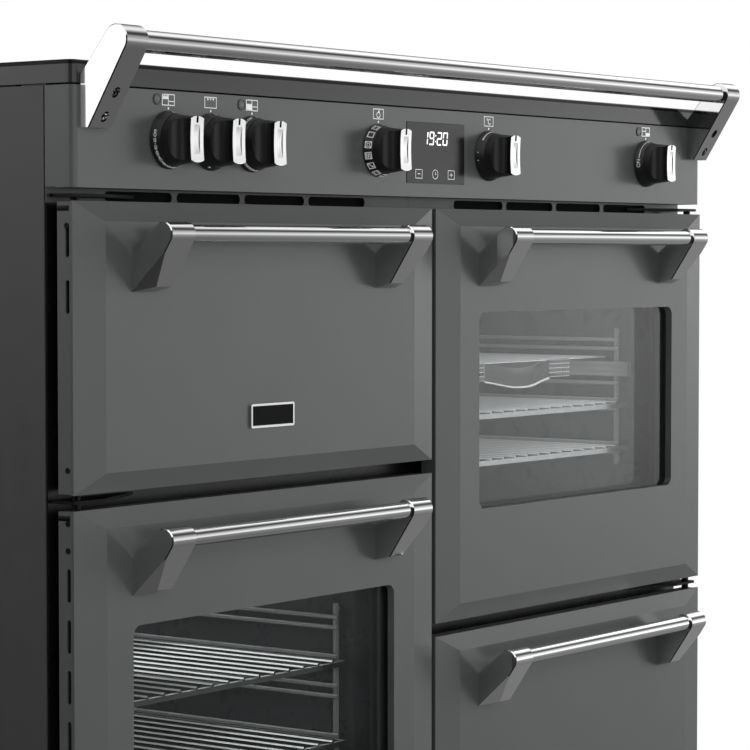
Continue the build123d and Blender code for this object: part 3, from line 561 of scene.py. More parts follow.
ARC_LAP = 0.3
ICON_WIDTH = 17.6
ICON_HEIGHT = 10.6
ICON_LINE = 0.75
ICON_SPLITS = (0.9, -1.3)
ICON_CELLS = {1: "top_left", 3: "bottom_left", 6: "bottom_right"}
FLAME_PLACES = (-3.9, 0.0, 3.9)
FLAME_STEPS = ((3.5, 2.2, 0.9), (2.8, 1.3, 1.0), (2.1, 0.6, 0.9))
ICON_RISE = 94.0
DOT_RISE = 86.2
DOT_RADIUS = 1.1


def draw_layout_icon(plane, cell):
    """Draws the cooker's four ovens as cells, with one of them filled."""
    draw_frame(plane, ICON_WIDTH, ICON_HEIGHT, ICON_LINE)
    draw_bar(plane, 0, 0, ICON_LINE, ICON_HEIGHT - 2 * ICON_LINE)
    half = ICON_WIDTH / 4
    left_split, right_split = ICON_SPLITS
    for x, split in ((-half, left_split), (half, right_split)):
        draw_bar(plane, x, split, 2 * half - 2 * ICON_LINE, ICON_LINE)
    room = 2 * half - ICON_LINE
    top = ICON_HEIGHT / 2
    if cell == "top_left":
        height = top - left_split
        draw_bar(plane, -half, left_split + height * 0.28, room, height * 0.5)
        draw_bar(plane, -half, top - height * 0.1, room, height * 0.2)
        for i in range(4):
            x = -half + (i - 1.5) * room * 0.29
            draw_bar(plane, x, left_split + height * 0.6, room * 0.13, height * 0.5)
    elif cell == "bottom_left":
        draw_bar(plane, -half, (left_split - top) / 2, room, top + left_split)
    elif cell == "bottom_right":
        draw_bar(plane, half, (right_split - top) / 2, room, top + right_split)


def draw_icon(plane, number):
    """Draws the small picture over a knob."""
    if number in ICON_CELLS:
        draw_layout_icon(plane, ICON_CELLS[number])
        return
    draw_frame(plane, ICON_WIDTH, ICON_HEIGHT, ICON_LINE)
    if number == 2:
        for x in FLAME_PLACES:
            for y, width, height in FLAME_STEPS:
                draw_bar(plane, x, y, width, height)
    elif number == 4:
        draw_arc(plane, 0, -0.9, 2.8, 0.95, 35, 290, 14)
        draw_disc(plane, 0.7, 2.1, 1.25, 10)
        draw_bar(plane, 1.1, 3.3, 0.9, 1.8, -0.4)
    elif number == 5:
        draw_arc(plane, -2.6, 2.0, 0.9, 0.6, 0, 360, 8)
        draw_arc(plane, 1.6, -0.3, 2.5, 0.9, 45, -270, 12)


def knob_across(knob):
    """How far across the front a knob's axis is."""
    low, high = corners(f"{knob}_body")
    return (low.x + high.x) / 2


def lettering(text, size, plane):
    """Sets a short word or number as a mesh on a plane, and joins it to the active piece."""
    piece = bpy.context.view_layer.objects.active
    bpy.ops.object.select_all(action="DESELECT")
    bpy.ops.object.text_add()
    word = bpy.context.view_layer.objects.active
    word.data.body = text
    word.data.size = size * MM
    word.data.align_x = "CENTER"
    word.data.align_y = "CENTER"
    word.data.resolution_u = 3
    bpy.ops.object.convert(target="MESH")
    word = bpy.context.view_layer.objects.active
    word.matrix_world = plane
    bpy.ops.object.transform_apply(location=True, rotation=True, scale=True)
    piece.select_set(True)
    bpy.context.view_layer.objects.active = piece
    bpy.ops.object.join()


OVEN_SCALE = ("OFF", "60", "80", "100", "120", "140", "160", "180", "200", "220", "250")
SCALE_STARTS = {1: 77.0, 3: 23.0}
SCALE_STEP = 15.2
SCALE_HEIGHT = 3.9
WORD_HEIGHT = 6.2
POINTER = (0, 0.6, 1.0, 3.4)
MARK_STEP = 5
WEDGE_MARKS = 10
SWEEP_MARKS = 17
MODE_START = -28
MODE_STEP = 25.2
MODE_SIZE = 7.2
MODE_LINE = 0.75
MODE_CORNER = 2.3
MODE_DOT = 1.1
MODE_COUNT = 9
MODE_KINDS = 5


def draw_scale(knob, number, lift):
    """Draws what a knob's skirt carries: a number scale, mode pictures or a sweep line."""
    def at(degrees):
        return skirt_plane(knob, math.radians(degrees), lift)

    draw_bar(at(2), *POINTER)
    if number in SCALE_STARTS:
        for i in range(len(OVEN_SCALE)):
            draw_disc(at(-SCALE_STARTS[number] - SCALE_STEP * (i + 0.5)), 0, 0, 0.5, 8)
    elif number == 2:
        draw_bar(at(-160), 0, 0, 2.4, 1.2)
    elif number == 4:
        for i in range(MODE_COUNT):
            draw_mode(at(MODE_START - MODE_STEP * i), i)
    elif number == 5:
        for i in range(WEDGE_MARKS):
            draw_bar(at(2 - MARK_STEP * i), 0, 0, 2.3, 0.5 + 0.1 * i)
        draw_disc(at(-48), 0, 0, 1.1, 12)
        for degrees in (-83, -102):
            draw_disc(at(degrees), 0, 2.0, 0.5, 8)
    elif number == 6:
        for i in range(SWEEP_MARKS):
            draw_bar(at(6 - MARK_STEP * i), 0, 0, 2.4, 0.8)
        draw_bar(at(-9), 0, 0, 2.4, 2.6)


def draw_mode(plane, kind):
    """Draws one cooking mode: a square with bars, a ring or a slanted line in it."""
    draw_frame(plane, MODE_SIZE, MODE_SIZE, MODE_LINE)
    kind %= MODE_KINDS
    if kind == 0:
        for rise in (1.6, -1.6):
            draw_bar(plane, 0, rise, 4.4, MODE_LINE)
    elif kind == 1:
        draw_frame(plane, MODE_SIZE - MODE_LINE, MODE_SIZE - MODE_LINE, MODE_LINE)
    elif kind == 2:
        draw_arc(plane, 0, 0, 1.6, MODE_LINE, 0, 360, 10)
        for side in (-MODE_CORNER, MODE_CORNER):
            for rise in (MODE_CORNER, -MODE_CORNER):
                draw_bar(plane, side, rise, MODE_DOT, MODE_DOT)
    elif kind == 3:
        for rise in (-1.7, 0, 1.7):
            draw_bar(plane, 0, rise, 4.6, MODE_LINE)
    else:
        draw_bar(plane, 0.6, 0.6, 5.0, MODE_LINE, 0.6)
        draw_disc(plane, -1.2, -1.2, 1.1, 10)


def letter_scale(knob, number, lift):
    """Sets the numbers and words that belong to a knob's scale."""
    if number in SCALE_STARTS:
        for i, text in enumerate(OVEN_SCALE):
            turn = math.radians(-SCALE_STARTS[number] - SCALE_STEP * i)
            lettering(text, SCALE_HEIGHT, skirt_plane(knob, turn, lift))
    elif number == 6:
        lettering("ON", WORD_HEIGHT, skirt_plane(knob, math.radians(-90), lift))


SEGMENTS = {
    "0": "abcdef", "1": "bc", "2": "abged", "3": "abgcd", "4": "fgbc",
    "5": "afgcd", "6": "afgcde", "7": "abc", "8": "abcdefg", "9": "abcdfg",
}


def draw_digit(plane, digit, x, height):
    """Draws one seven-segment digit."""
    line = DIGIT_LINE
    across, tall = DIGIT_WIDTH - line, height / 2 - line
    side, rise, level = across / 2, (height - line) / 2, height / 4
    spots = {
        "a": (0, rise, across, line), "g": (0, 0, across, line), "d": (0, -rise, across, line),
        "f": (-side, level, line, tall), "b": (side, level, line, tall),
        "e": (-side, -level, line, tall), "c": (side, -level, line, tall),
    }
    for name in SEGMENTS[digit]:
        sx, sy, w, h = spots[name]
        draw_bar(plane, x + sx + sy * DIGIT_LEAN, sy, w, h, -DIGIT_LEAN if h > w else 0.0)


def select_where(test):
    """Selects the open mesh's faces whose middle and normal pass a test."""
    piece = bpy.context.view_layer.objects.active
    bpy.ops.mesh.select_all(action="DESELECT")
    bpy.ops.object.mode_set(mode="OBJECT")
    for face in piece.data.polygons:
        face.select = bool(test(face.center, face.normal))
    bpy.ops.object.mode_set(mode="EDIT")


# the least share of a normal along an axis that its face looks along, and how near counts as touching
FACING = 0.9
TOUCH = 1e-5
SCREW_CHAMFER = 0.12
SCREW_CROWN = 0.1
SCREW_FACE = 0.9
SOCKET_DEPTH = 0.6


def add_drum(place, radius, depth, sides):
    """Adds a short cylinder to the open mesh, facing the front, and selects its front face."""
    bpy.ops.mesh.primitive_cylinder_add(
        vertices=sides, radius=radius, depth=depth, end_fill_type="NGON", location=place,
        rotation=(math.pi / 2, 0.0, 0.0))
    front = place[1] - depth / 2
    select_where(lambda centre, normal: normal.y < -FACING and abs(centre.y - front) < TOUCH and (
        math.hypot(centre.x - place[0], centre.z - place[2]) < radius))


def screw_head(place, radius, height, drive):
    """Models a socket-head screw in the open mesh: a chamfered head with a round socket sunk in it."""
    add_drum(place, radius, height, 24)
    bpy.ops.mesh.inset(thickness=radius * SCREW_CHAMFER)
    bpy.ops.transform.translate(value=(0, -height * SCREW_CROWN, 0))
    bpy.ops.mesh.inset(thickness=radius * SCREW_FACE - drive)
    bpy.ops.mesh.extrude_region_move(TRANSFORM_OT_translate={"value": (0, height * SOCKET_DEPTH, 0)})


class CookerSizes(bpy.types.PropertyGroup):
    """The sizes that a user would change."""

    print_lift: FloatProperty(
        name="Print lift", description="How far printed marks stand off the paint",
        default=0.12 * MM, unit="LENGTH", min=0.0)
    screw_radius: FloatProperty(
        name="Rail screw radius", description="Radius of the screws in the hand rail's brackets",
        default=3.9 * MM, unit="LENGTH", min=0.0)
    digit_height: FloatProperty(
        name="Digit height", description="Height of the clock's digits",
        default=13.8 * MM, unit="LENGTH", min=0.0)
    clock: StringProperty(name="Clock", description="Digits that the display shows", default="1920")
    zone_count: IntProperty(
        name="Cooking zones", description="Rings printed on the hob glass", default=5, min=1, max=5)


class CookerColours(bpy.types.PropertyGroup):
    """The colours that a user would change."""

    paint: FloatVectorProperty(
        name="Front paint", description="Colour of the doors and the fascia",
        default=(0.0790, 0.0830, 0.0815), size=3, subtype="COLOR", min=0.0, max=1.0)
    side: FloatVectorProperty(
        name="Side paint", description="Colour of the side panels",
        default=(0.050, 0.050, 0.050), size=3, subtype="COLOR", min=0.0, max=1.0)
    metal: FloatVectorProperty(
        name="Bright metal", description="Colour of the plated rail and handles",
        default=(0.86, 0.86, 0.87), size=3, subtype="COLOR", min=0.0, max=1.0)
    cavity: FloatVectorProperty(
        name="Oven enamel", description="Colour of the oven cavities",
        default=(0.075, 0.075, 0.077), size=3, subtype="COLOR", min=0.0, max=1.0)
    # this colour also paints the shade on the recessed vent strip below the fascia
    hob: FloatVectorProperty(
        name="Hob frame", description="Colour of the frame round the hob glass",
        default=(0.030, 0.031, 0.031), size=3, subtype="COLOR", min=0.0, max=1.0)
    ink: FloatVectorProperty(
        name="Printing ink", description="Colour of the printed marks",
        default=(0.98, 0.98, 0.98), size=3, subtype="COLOR", min=0.0, max=1.0)
    floor: FloatVectorProperty(
        name="Floor", description="Colour of the studio floor",
        default=(0.62, 0.62, 0.62), size=3, subtype="COLOR", min=0.0, max=1.0)


class CookerSettings(bpy.types.PropertyGroup):
    """All settings of the cooker."""

    sizes: PointerProperty(type=CookerSizes, name="Sizes", description="Sizes of the small pieces")
    colours: PointerProperty(type=CookerColours, name="Colours", description="Colours of the finishes")


FINISHES = {}


def finish_for(name):
    """A finish that the finishes operator made."""
    if name not in FINISHES:
        raise RuntimeError(f"no finish named {name}: run the finishes first")
    return FINISHES[name]


def recipes(colours):
    """Every finish by name: the function that builds it, and its values."""
    metal = tuple(colours.metal)
    black = (0.006, 0.006, 0.0065)
    return {
        "anthracite_paint": (fascia_paint, tuple(colours.paint), tuple(colours.hob), 0.24, black),
        "side_panel_paint": (satin_paint, tuple(colours.side), 0.34),
        "black_enamel": (enamel, grey(0.004), 0.25, grey(0.02)),
        "grey_enamel": (enamel, tuple(colours.cavity), 0.25, (0.16, 0.16, 0.165)),
        "liner_paint": (satin_paint, (0.072, 0.072, 0.073), 0.4),
        "black_steel": (plain_metal, (0.02, 0.02, 0.021), 0.4),
        "polished_steel": (bright_metal, metal, 0.05),
        "zinc_plated_steel": (plain_metal, (0.55, 0.56, 0.57), 0.36),
        "dark_glass": (pane, (0.88, 0.89, 0.89), 1.15),
        "bright_glass": (pane, (0.90, 0.91, 0.91), 1.45),
        # these four finishes paint a highlight on faces that look up and shade on faces that look sideways
        # or down: the first colour is the painted highlight, the second the painted shade
        "shelf_wire": (wire_plating_painted_highlight, grey(0.84), grey(0.34)),
        "new_wire": (wire_plating_painted_highlight, grey(0.95), grey(0.10)),
        "runner_plating": (wire_plating_painted_highlight, grey(0.88), grey(0.46)),
        "scoop_plating": (wire_plating_painted_highlight, grey(0.80), grey(0.07)),
        "bracket_plating": (bracket_finish, shade(metal, 0.85)),
        "hob_ceramic": (ceramic, (0.008, 0.008, 0.009), grey(0.05)),
        "display_glass": (satin_paint, grey(0.008), 0.16, 0.02),
        "amber_lens": (printed, (0.125, 0.125, 0.122)),
        "lens_clear": (pane, grey(0.92), 1.45),
        "knob_plastic": (moulded, grey(0.011), 0.36),
        "dark_plastic": (moulded, (0.02, 0.02, 0.021), 0.5),
        "seal_rubber": (moulded, grey(0.016), 0.75),
        "element_sheath": (heating_rod, (0.16, 0.15, 0.14)),
        "coil_copper": (wound_copper, (0.72, 0.36, 0.20)),
        "badge_metal": (badge_finish, metal, black),
        "grip_plating": (grip_finish, grey(0.95), black),
        # painted shade: a near-black matte finish for the sheets that stand in for the shade behind the
        # vents and under the hob's frame
        "vent_gauze": (moulded, grey(0.003), 0.9),
        "white_ink": (printed, tuple(colours.ink)),
        "grey_ink": (printed, (0.35, 0.35, 0.36)),
        "lit_segment": (printed, (0.95, 0.96, 0.97), 1.0),
    }


class COOKER_OT_finishes(bpy.types.Operator):
    """Makes every finish and gives each CAD node its own."""

    bl_idname = "cooker.finishes"
    bl_label = "Finishes"

    def execute(self, context):
        FINISHES.clear()
        for name, (build, *values) in recipes(settings().colours).items():
            FINISHES[name], f = new_finish(name)
            build(f, *values)
        slots = {row["node"]: row["material_slot"] for row in frame["record"]["subparts"]}
        for name, node in frame["nodes"].items():
            wanted = slots.get(name)
            if wanted not in FINISHES:
                raise RuntimeError(f"node {name} has no finish for its slot {wanted}")
            node.data.materials.clear()
            node.data.materials.append(FINISHES[OWN_FINISHES.get(name, wanted)])
        return {"FINISHED"}


OWN_FINISHES = {
    "multi_door_glass": "bright_glass", "rail_brackets": "bracket_plating",
    "multi_upper_shelf": "shelf_wire", "multi_lower_shelf": "shelf_wire",
    "main_upper_shelf": "new_wire", "main_lower_shelf": "new_wire", "shelf_ladders": "runner_plating",
    **{f"{knob}_grip": "grip_plating" for knob in KNOBS},
}


PRINT_BODY = 1.5
SCALE_BODY = 2.0


class COOKER_OT_fascia_marks(bpy.types.Operator):
    """Prints the pictures and dots over the knobs."""

    bl_idname = "cooker.fascia_marks"
    bl_label = "Fascia marks"

    def execute(self, context):
        lift = settings().sizes.print_lift
        for number, knob in enumerate(KNOBS, 1):
            x = knob_across(knob)
            piece = open_piece(f"icon_{number}")
            draw_icon(front_plane(x, FASCIA_FRONT - lift, DOOR_TOP + ICON_RISE * MM), number)
            draw_disc(front_plane(x, FASCIA_FRONT - lift, DOOR_TOP + DOT_RISE * MM), 0, 0, DOT_RADIUS)
            thicken(piece, lift * PRINT_BODY)
            close_piece(piece, "body", "white_ink")
        return {"FINISHED"}


class COOKER_OT_knob_scales(bpy.types.Operator):
    """Prints the scales round the knobs' skirts."""

    bl_idname = "cooker.knob_scales"
    bl_label = "Knob scales"

    def execute(self, context):
        lift = settings().sizes.print_lift
        for number, knob in enumerate(KNOBS, 1):
            piece = open_piece(f"{knob}_scale")
            draw_scale(knob, number, lift)
            leave_edit()
            letter_scale(knob, number, lift)
            thicken(piece, lift * SCALE_BODY)
            close_piece(piece, knob, "white_ink")
        return {"FINISHED"}


class COOKER_OT_display_face(bpy.types.Operator):
    """Lights the clock's digits and prints the touch keys under them."""

    bl_idname = "cooker.display_face"
    bl_label = "Display face"

    def execute(self, context):
        sizes = settings().sizes
        lift = sizes.print_lift
        middle = (DISPLAY_LOW.x + DISPLAY_HIGH.x) / 2
        face = DISPLAY_LOW.y - lift
        tall = sizes.digit_height / MM
        piece = open_piece("clock_digits")
        plane = front_plane(middle, face, DOOR_TOP + CLOCK_RISE * MM)
        for digit, x in zip(sizes.clock, DIGIT_PLACES):
            draw_digit(plane, digit, x, tall)
        for side in (-1, 1):
            draw_disc(plane, COLON_PLACE, side * tall * COLON_RISE, COLON_RADIUS, 10)
        thicken(piece, lift * PRINT_BODY)
        close_piece(piece, "body", "lit_segment")

        piece = open_piece("touch_keys")
        for kind, x in KEYS:
            plane = front_plane(middle + x * MM, face, DOOR_TOP + KEY_RISE * MM)
            if kind == "clock":
                draw_arc(plane, 0, 0, KEY_HEIGHT / 2, KEY_LINE, 0, 360, 16)
                for hand in CLOCK_HANDS:
                    draw_bar(plane, *hand)
                continue
            draw_frame(plane, KEY_WIDTH, KEY_HEIGHT, KEY_LINE)
            draw_bar(plane, 0, 0, SIGN_LENGTH, SIGN_LINE)
            if kind == "plus":
                draw_bar(plane, 0, 0, SIGN_LINE, SIGN_LENGTH)
        thicken(piece, lift * PRINT_BODY)
        close_piece(piece, "body", "white_ink")
        return {"FINISHED"}


CLOCK_RISE = 72.5
DIGIT_PLACES = (-18.8, -7.9, 5.8, 16.3)
DIGIT_WIDTH = 8.3
DIGIT_LINE = 1.4
DIGIT_LEAN = 0.12
COLON_PLACE = -0.7
COLON_RISE = 0.22
COLON_RADIUS = 0.6 * DIGIT_LINE
KEY_RISE = 35.4
KEY_WIDTH = 12.0
KEY_HEIGHT = 9.4
KEY_LINE = 0.55
SIGN_LENGTH = 4.6
SIGN_LINE = 1.3 * KEY_LINE
CLOCK_HANDS = ((0, 1.2, KEY_LINE, 2.6), (0.9, 0, 2.0, KEY_LINE))
KEYS = (("minus", -30.7), ("clock", -1.6), ("plus", 27.3))


class COOKER_OT_rail_screws(bpy.types.Operator):
    """Sets the socket screws into the counterbores of the hand rail's brackets."""

    bl_idname = "cooker.rail_screws"
    bl_label = "Rail screws"

    def execute(self, context):
        low, high = corners("rail_brackets")
        piece = open_piece("rail_screws")
        for x in (low.x + RAIL_HALF_WIDTH, high.x - RAIL_HALF_WIDTH):
            for rise, height in RAIL_SCREWS:
                screw_head(
                    (x, FASCIA_FRONT - RAIL_SCREW_SEAT - height / 2, DOOR_TOP + rise),
                    settings().sizes.screw_radius, height, RAIL_SCREW_DRIVE)
        close_piece(piece, "body", "polished_steel", 30)
        return {"FINISHED"}


RAIL_HALF_WIDTH = 15.0 * MM
RAIL_SCREWS = ((74.0 * MM, 3.0 * MM), (95.0 * MM, 12.0 * MM))
RAIL_SCREW_SEAT = 5.0 * MM
RAIL_SCREW_DRIVE = 1.9 * MM


class COOKER_OT_lens_rims(bpy.types.Operator):
    """Sets a clear dome and its thin rim over each indicator."""

    bl_idname = "cooker.lens_rims"
    bl_label = "Indicator domes"

    def execute(self, context):
        rims = open_piece("lens_rims")
        for number in LENS_KNOBS:
            draw_ring(lens_place(number), LENS_RADIUS, LENS_RADIUS + LENS_RIM, LENS_PROUD)
        close_piece(rims, "body", "liner_paint", smooth=40)
        domes = open_piece("lens_domes")
        for number in LENS_KNOBS:
            draw_dome(lens_place(number), LENS_RADIUS * LENS_FIT, LENS_DOME)
        close_piece(domes, "body", "lens_clear", smooth=60)
        return {"FINISHED"}


LENS_KNOBS = (1, 3, 6)
LENS_OFFSET = -15.8 * MM
LENS_RISE = 94.0 * MM
LENS_RADIUS = 4.2 * MM
LENS_RIM = 1.0 * MM
LENS_PROUD = 0.9 * MM
LENS_CROWN = 0.25
LENS_DOME = 1.6 * MM
LENS_FIT = 0.98
DOME_FOOT = 0.3 * MM


def lens_place(number):
    """Where an indicator sits on the fascia."""
    return Vector((knob_across(KNOBS[number - 1]) + LENS_OFFSET, FASCIA_FRONT, DOOR_TOP + LENS_RISE))


def draw_ring(place, inner, outer, proud):
    """Models a low round rim in the open mesh, standing off the front."""
    add_drum(place - Vector((0, proud / 2, 0)), outer, proud, 32)
    bpy.ops.mesh.inset(thickness=(outer - inner) / 2)
    bpy.ops.transform.translate(value=(0, -proud * LENS_CROWN, 0))
    bpy.ops.mesh.inset(thickness=(outer - inner) / 2)
    bpy.ops.mesh.extrude_region_move(TRANSFORM_OT_translate={"value": (0, proud, 0)})


def draw_dome(place, radius, height):
    """Models a shallow dome in the open mesh, with its foot on the front."""
    bpy.ops.mesh.primitive_uv_sphere_add(
        segments=24, ring_count=12, radius=radius, location=place, rotation=(math.pi / 2, 0, 0))
    bpy.ops.transform.resize(value=(1.0, height / radius, 1.0), center_override=place)
    bpy.ops.mesh.bisect(
        plane_co=place - Vector((0, DOME_FOOT, 0)), plane_no=(0, 1, 0), clear_outer=True, use_fill=True)


class COOKER_OT_seals(bpy.types.Operator):
    """Fits the black gauze behind the vent slots and the seal under the hob's frame, both in a near-black
    matte finish that is painted shade for the slots and the gap.
    """

    bl_idname = "cooker.seals"
    bl_label = "Gauze and seals"

    def execute(self, context):
        frame_low, _ = corners("front_frame")
        back = frame_low.y + FRAME_SHEET
        # painted shade: a near-black sheet behind the vent slots, where there is only shade
        gauze = open_piece("vent_gauze")
        for side in (-1, 1):
            draw_pad(
                (side * VENT_MIDDLE, back + GAUZE_THICKNESS / 2, DOOR_TOP + VENT_RISE),
                (VENT_RUN, GAUZE_THICKNESS, GAUZE_HEIGHT), GAUZE_THICKNESS * PAD_EASE)
        close_piece(gauze, "body", "vent_gauze")
        panel_low, panel_high = corners("side_panels")
        gap = HOB_UNDERSIDE - FASCIA_HIGH.z
        level = FASCIA_HIGH.z + gap / 2
        # a seal strip whose near-black matte finish is painted shade for the gap under the hob's frame
        seal = open_piece("hob_seal")
        run = FASCIA_HIGH.x - FASCIA_LOW.x - 2 * SEAL_END
        ease = min(SEAL_WIDTH, gap) * PAD_EASE
        draw_pad((0, FASCIA_FRONT + SEAL_INSET, level), (run, SEAL_WIDTH, gap), ease)
        for edge in (panel_low.x, panel_high.x):
            x = edge - math.copysign(SEAL_WIDTH / 2 + SEAL_EDGE, edge)
            start, end = panel_low.y + SEAL_START, panel_high.y - SEAL_INSET
            draw_pad((x, (start + end) / 2, level), (SEAL_WIDTH, end - start, gap), ease)
        close_piece(seal, "body", "vent_gauze")
        return {"FINISHED"}


FRAME_SHEET = 2.0 * MM
VENT_MIDDLE = 276.75 * MM
VENT_RISE = 5.2 * MM
VENT_RUN = 412.0 * MM
GAUZE_THICKNESS = 1.6 * MM
GAUZE_HEIGHT = 18.0 * MM
SEAL_INSET = 9.0 * MM
SEAL_WIDTH = 5.0 * MM
SEAL_END = 4.0 * MM
SEAL_EDGE = 0.6 * MM
SEAL_START = 34.0 * MM
PAD_EASE = 0.15


def draw_pad(place, size, ease, rounds=1):
    """Models a flat strip in the open mesh, with eased edges."""
    bpy.ops.mesh.primitive_cube_add(size=1.0, location=(0, 0, 0))
    bpy.ops.transform.resize(value=size)
    bpy.ops.mesh.bevel(offset=ease, segments=rounds)
    bpy.ops.mesh.select_linked()
    bpy.ops.transform.translate(value=place)


class COOKER_OT_liner_fittings(bpy.types.Operator):
    """Sets the small screws and tabs on the edges of the door liners."""

    bl_idname = "cooker.liner_fittings"
    bl_label = "Liner fittings"

    def execute(self, context):
        for oven, side, drops in LINER_SCREWS:
            low, high = corners(f"{oven}_door_liner")
            edge = low.x if side < 0 else high.x
            front = corners(f"{oven}_door_panel")[0].y + LINER_SCREW_DEPTH
            top = corners(f"{oven}_door_panel")[1].z
            piece = open_piece(f"{oven}_liner_screws")
            for drop in drops:
                pan_screw(Vector((edge, front, top - drop)), side)
            draw_pad(
                (edge + side * TAB_THICKNESS * SEATED, front + TAB_DEPTH, top - TAB_DROP),
                (TAB_THICKNESS, TAB_LENGTH, TAB_HEIGHT), TAB_EASE, 2)
            close_piece(piece, f"{oven}_door", "black_steel", 40)
        return {"FINISHED"}


LINER_SCREWS = (
    ("grill", -1, (22 * MM, 239 * MM)), ("main", -1, (11.3 * MM, 35.4 * MM, 412 * MM)),
    ("multi", 1, (22 * MM, 412 * MM)), ("slow", 1, (22 * MM, 239 * MM)),
)
LINER_SCREW_DEPTH = 12.6 * MM
PAN_RADIUS = 2.6 * MM
PAN_HEIGHT = 0.6 * MM
PAN_RINGS = (0.3, 0.35)
TAB_LENGTH = 14.0 * MM
TAB_HEIGHT = 4.6 * MM
TAB_THICKNESS = 0.6 * MM
TAB_DEPTH = 4.5 * MM
TAB_DROP = 6.5 * MM
TAB_EASE = 0.2 * MM
# how far a fitting's middle stands off the liner's edge, as a share of its thickness
SEATED = 0.4


def pan_screw(place, side):
    """Models a low pan-head screw in the open mesh, on a side face."""
    bpy.ops.mesh.primitive_cylinder_add(
        vertices=20, radius=PAN_RADIUS, depth=PAN_HEIGHT, end_fill_type="NGON",
        location=place + Vector((side * PAN_HEIGHT * SEATED, 0, 0)), rotation=(0, math.pi / 2, 0))
    select_where(lambda centre, normal: normal.x * side > FACING and (centre - place).length < PAN_RADIUS)
    for share in PAN_RINGS:
        bpy.ops.mesh.inset(thickness=PAN_RADIUS * share)
    bpy.ops.mesh.extrude_region_move(
        TRANSFORM_OT_translate={"value": (-side * PAN_HEIGHT / 2, 0, 0)})


class COOKER_OT_oven_basket(bpy.types.Operator):
    """Hangs the telescopic runners and the mesh basket in the multi oven."""

    bl_idname = "cooker.oven_basket"
    bl_label = "Oven basket"

    def execute(self, context):
        low, high = corners("multi_cavity")
        middle = (low.x + high.x) / 2
        front = corners("multi_upper_shelf")[0].y
        runners = open_piece("oven_runners")
        for side in (-1, 1):
            draw_runner(middle + side * RUNNER_OUT, front - RUNNER_LEAD, side)
        close_piece(runners, "body", "runner_plating", 30)
        wires = open_piece("basket_mesh")
        draw_mesh(middle, front)
        apply_modifier(wires, "WIREFRAME", thickness=BASKET_WIRE, use_even_offset=False)
        close_piece(wires, "body", "shelf_wire")
        plate = open_piece("basket_scoop")
        draw_scoop(middle, front)
        thicken(plate, BASKET_SHEET)
        close_piece(plate, "body", "scoop_plating", 50)
        return {"FINISHED"}


RUNNER_OUT = 197.0 * MM
RUNNER_LEAD = 8.0 * MM
RUNNER_LENGTH = 300.0 * MM
RUNNER_LOW = 588.0 * MM
RUNNER_HEIGHT = 17.0 * MM
RUNNER_THICKNESS = 6.0 * MM
RUNNER_CUTS = (-0.3, -0.12, 0.12, 0.3)
RUNNER_GROOVES = (-0.21, 0.21)
GROOVE_DEPTH = 2.0 * MM
GROOVE_REACH = 1.5 * MM
BASKET_WIRE = 1.5 * MM
BASKET_SHEET = 1.0 * MM
BASKET_FLOOR = 611.0 * MM
BASKET_WALL = 20.0 * MM
BASKET_FRONT = 22.0 * MM
BASKET_DEPTH = 250.0 * MM
MESH_WIDTH = 44.0 * MM
SCOOP_HALF = 66.0 * MM
SCOOP_DIP = 8.0 * MM
SCOOP_BULGE = 6.4 * MM
DIP_HALF = 6.0 * MM
DIP_HEIGHT = 4.0 * MM
SCOOP_LIP = 2.5 * MM


def draw_runner(x, front, side):
    """Models one telescopic runner in the open mesh: a bar with two grooves along its inner face."""
    centre = Vector((x, front + RUNNER_LENGTH / 2, RUNNER_LOW + RUNNER_HEIGHT / 2))
    bpy.ops.mesh.primitive_cube_add(size=1.0, location=(0, 0, 0))
    bpy.ops.transform.resize(value=(RUNNER_THICKNESS, RUNNER_LENGTH, RUNNER_HEIGHT))
    for share in RUNNER_CUTS:
        bpy.ops.mesh.bisect(plane_co=(0, 0, RUNNER_HEIGHT * share), plane_no=(0, 0, 1))
        bpy.ops.mesh.select_linked()
    bpy.ops.transform.translate(value=centre)
    inner = x - side * RUNNER_THICKNESS / 2
    for share in RUNNER_GROOVES:
        level = centre.z + RUNNER_HEIGHT * share
        select_where(lambda c, n: abs(n.x) > FACING and abs(c.x - inner) < TOUCH and (
            abs(c.z - level) < GROOVE_REACH))
        bpy.ops.mesh.extrude_region_move(
            TRANSFORM_OT_translate={"value": (side * GROOVE_DEPTH, 0, 0)})


def add_grid(columns, rows, tilt, size, place):
    """Adds a flat grid to the open mesh, tilted about the cooker's width, at its size and place."""
    bpy.ops.mesh.primitive_grid_add(
        x_subdivisions=columns, y_subdivisions=rows, size=1.0, location=(0, 0, 0), rotation=(tilt, 0, 0))
    bpy.ops.transform.resize(value=size)
    bpy.ops.transform.translate(value=place)


def draw_mesh(middle, front):
    """Draws the basket's floor and the two front mesh walls as grids in the open mesh."""
    near = front + BASKET_FRONT
    add_grid(
        34, 22, 0.0, (2 * (RUNNER_OUT - RUNNER_THICKNESS), BASKET_DEPTH, 1.0),
        (middle, near + BASKET_DEPTH / 2, BASKET_FLOOR))
    for side in (-1, 1):
        x = middle + side * (SCOOP_HALF + MESH_WIDTH / 2)
        add_grid(
            8, 4, math.pi / 2, (MESH_WIDTH, 1.0, BASKET_WALL), (x, near, BASKET_FLOOR - BASKET_WALL / 2))


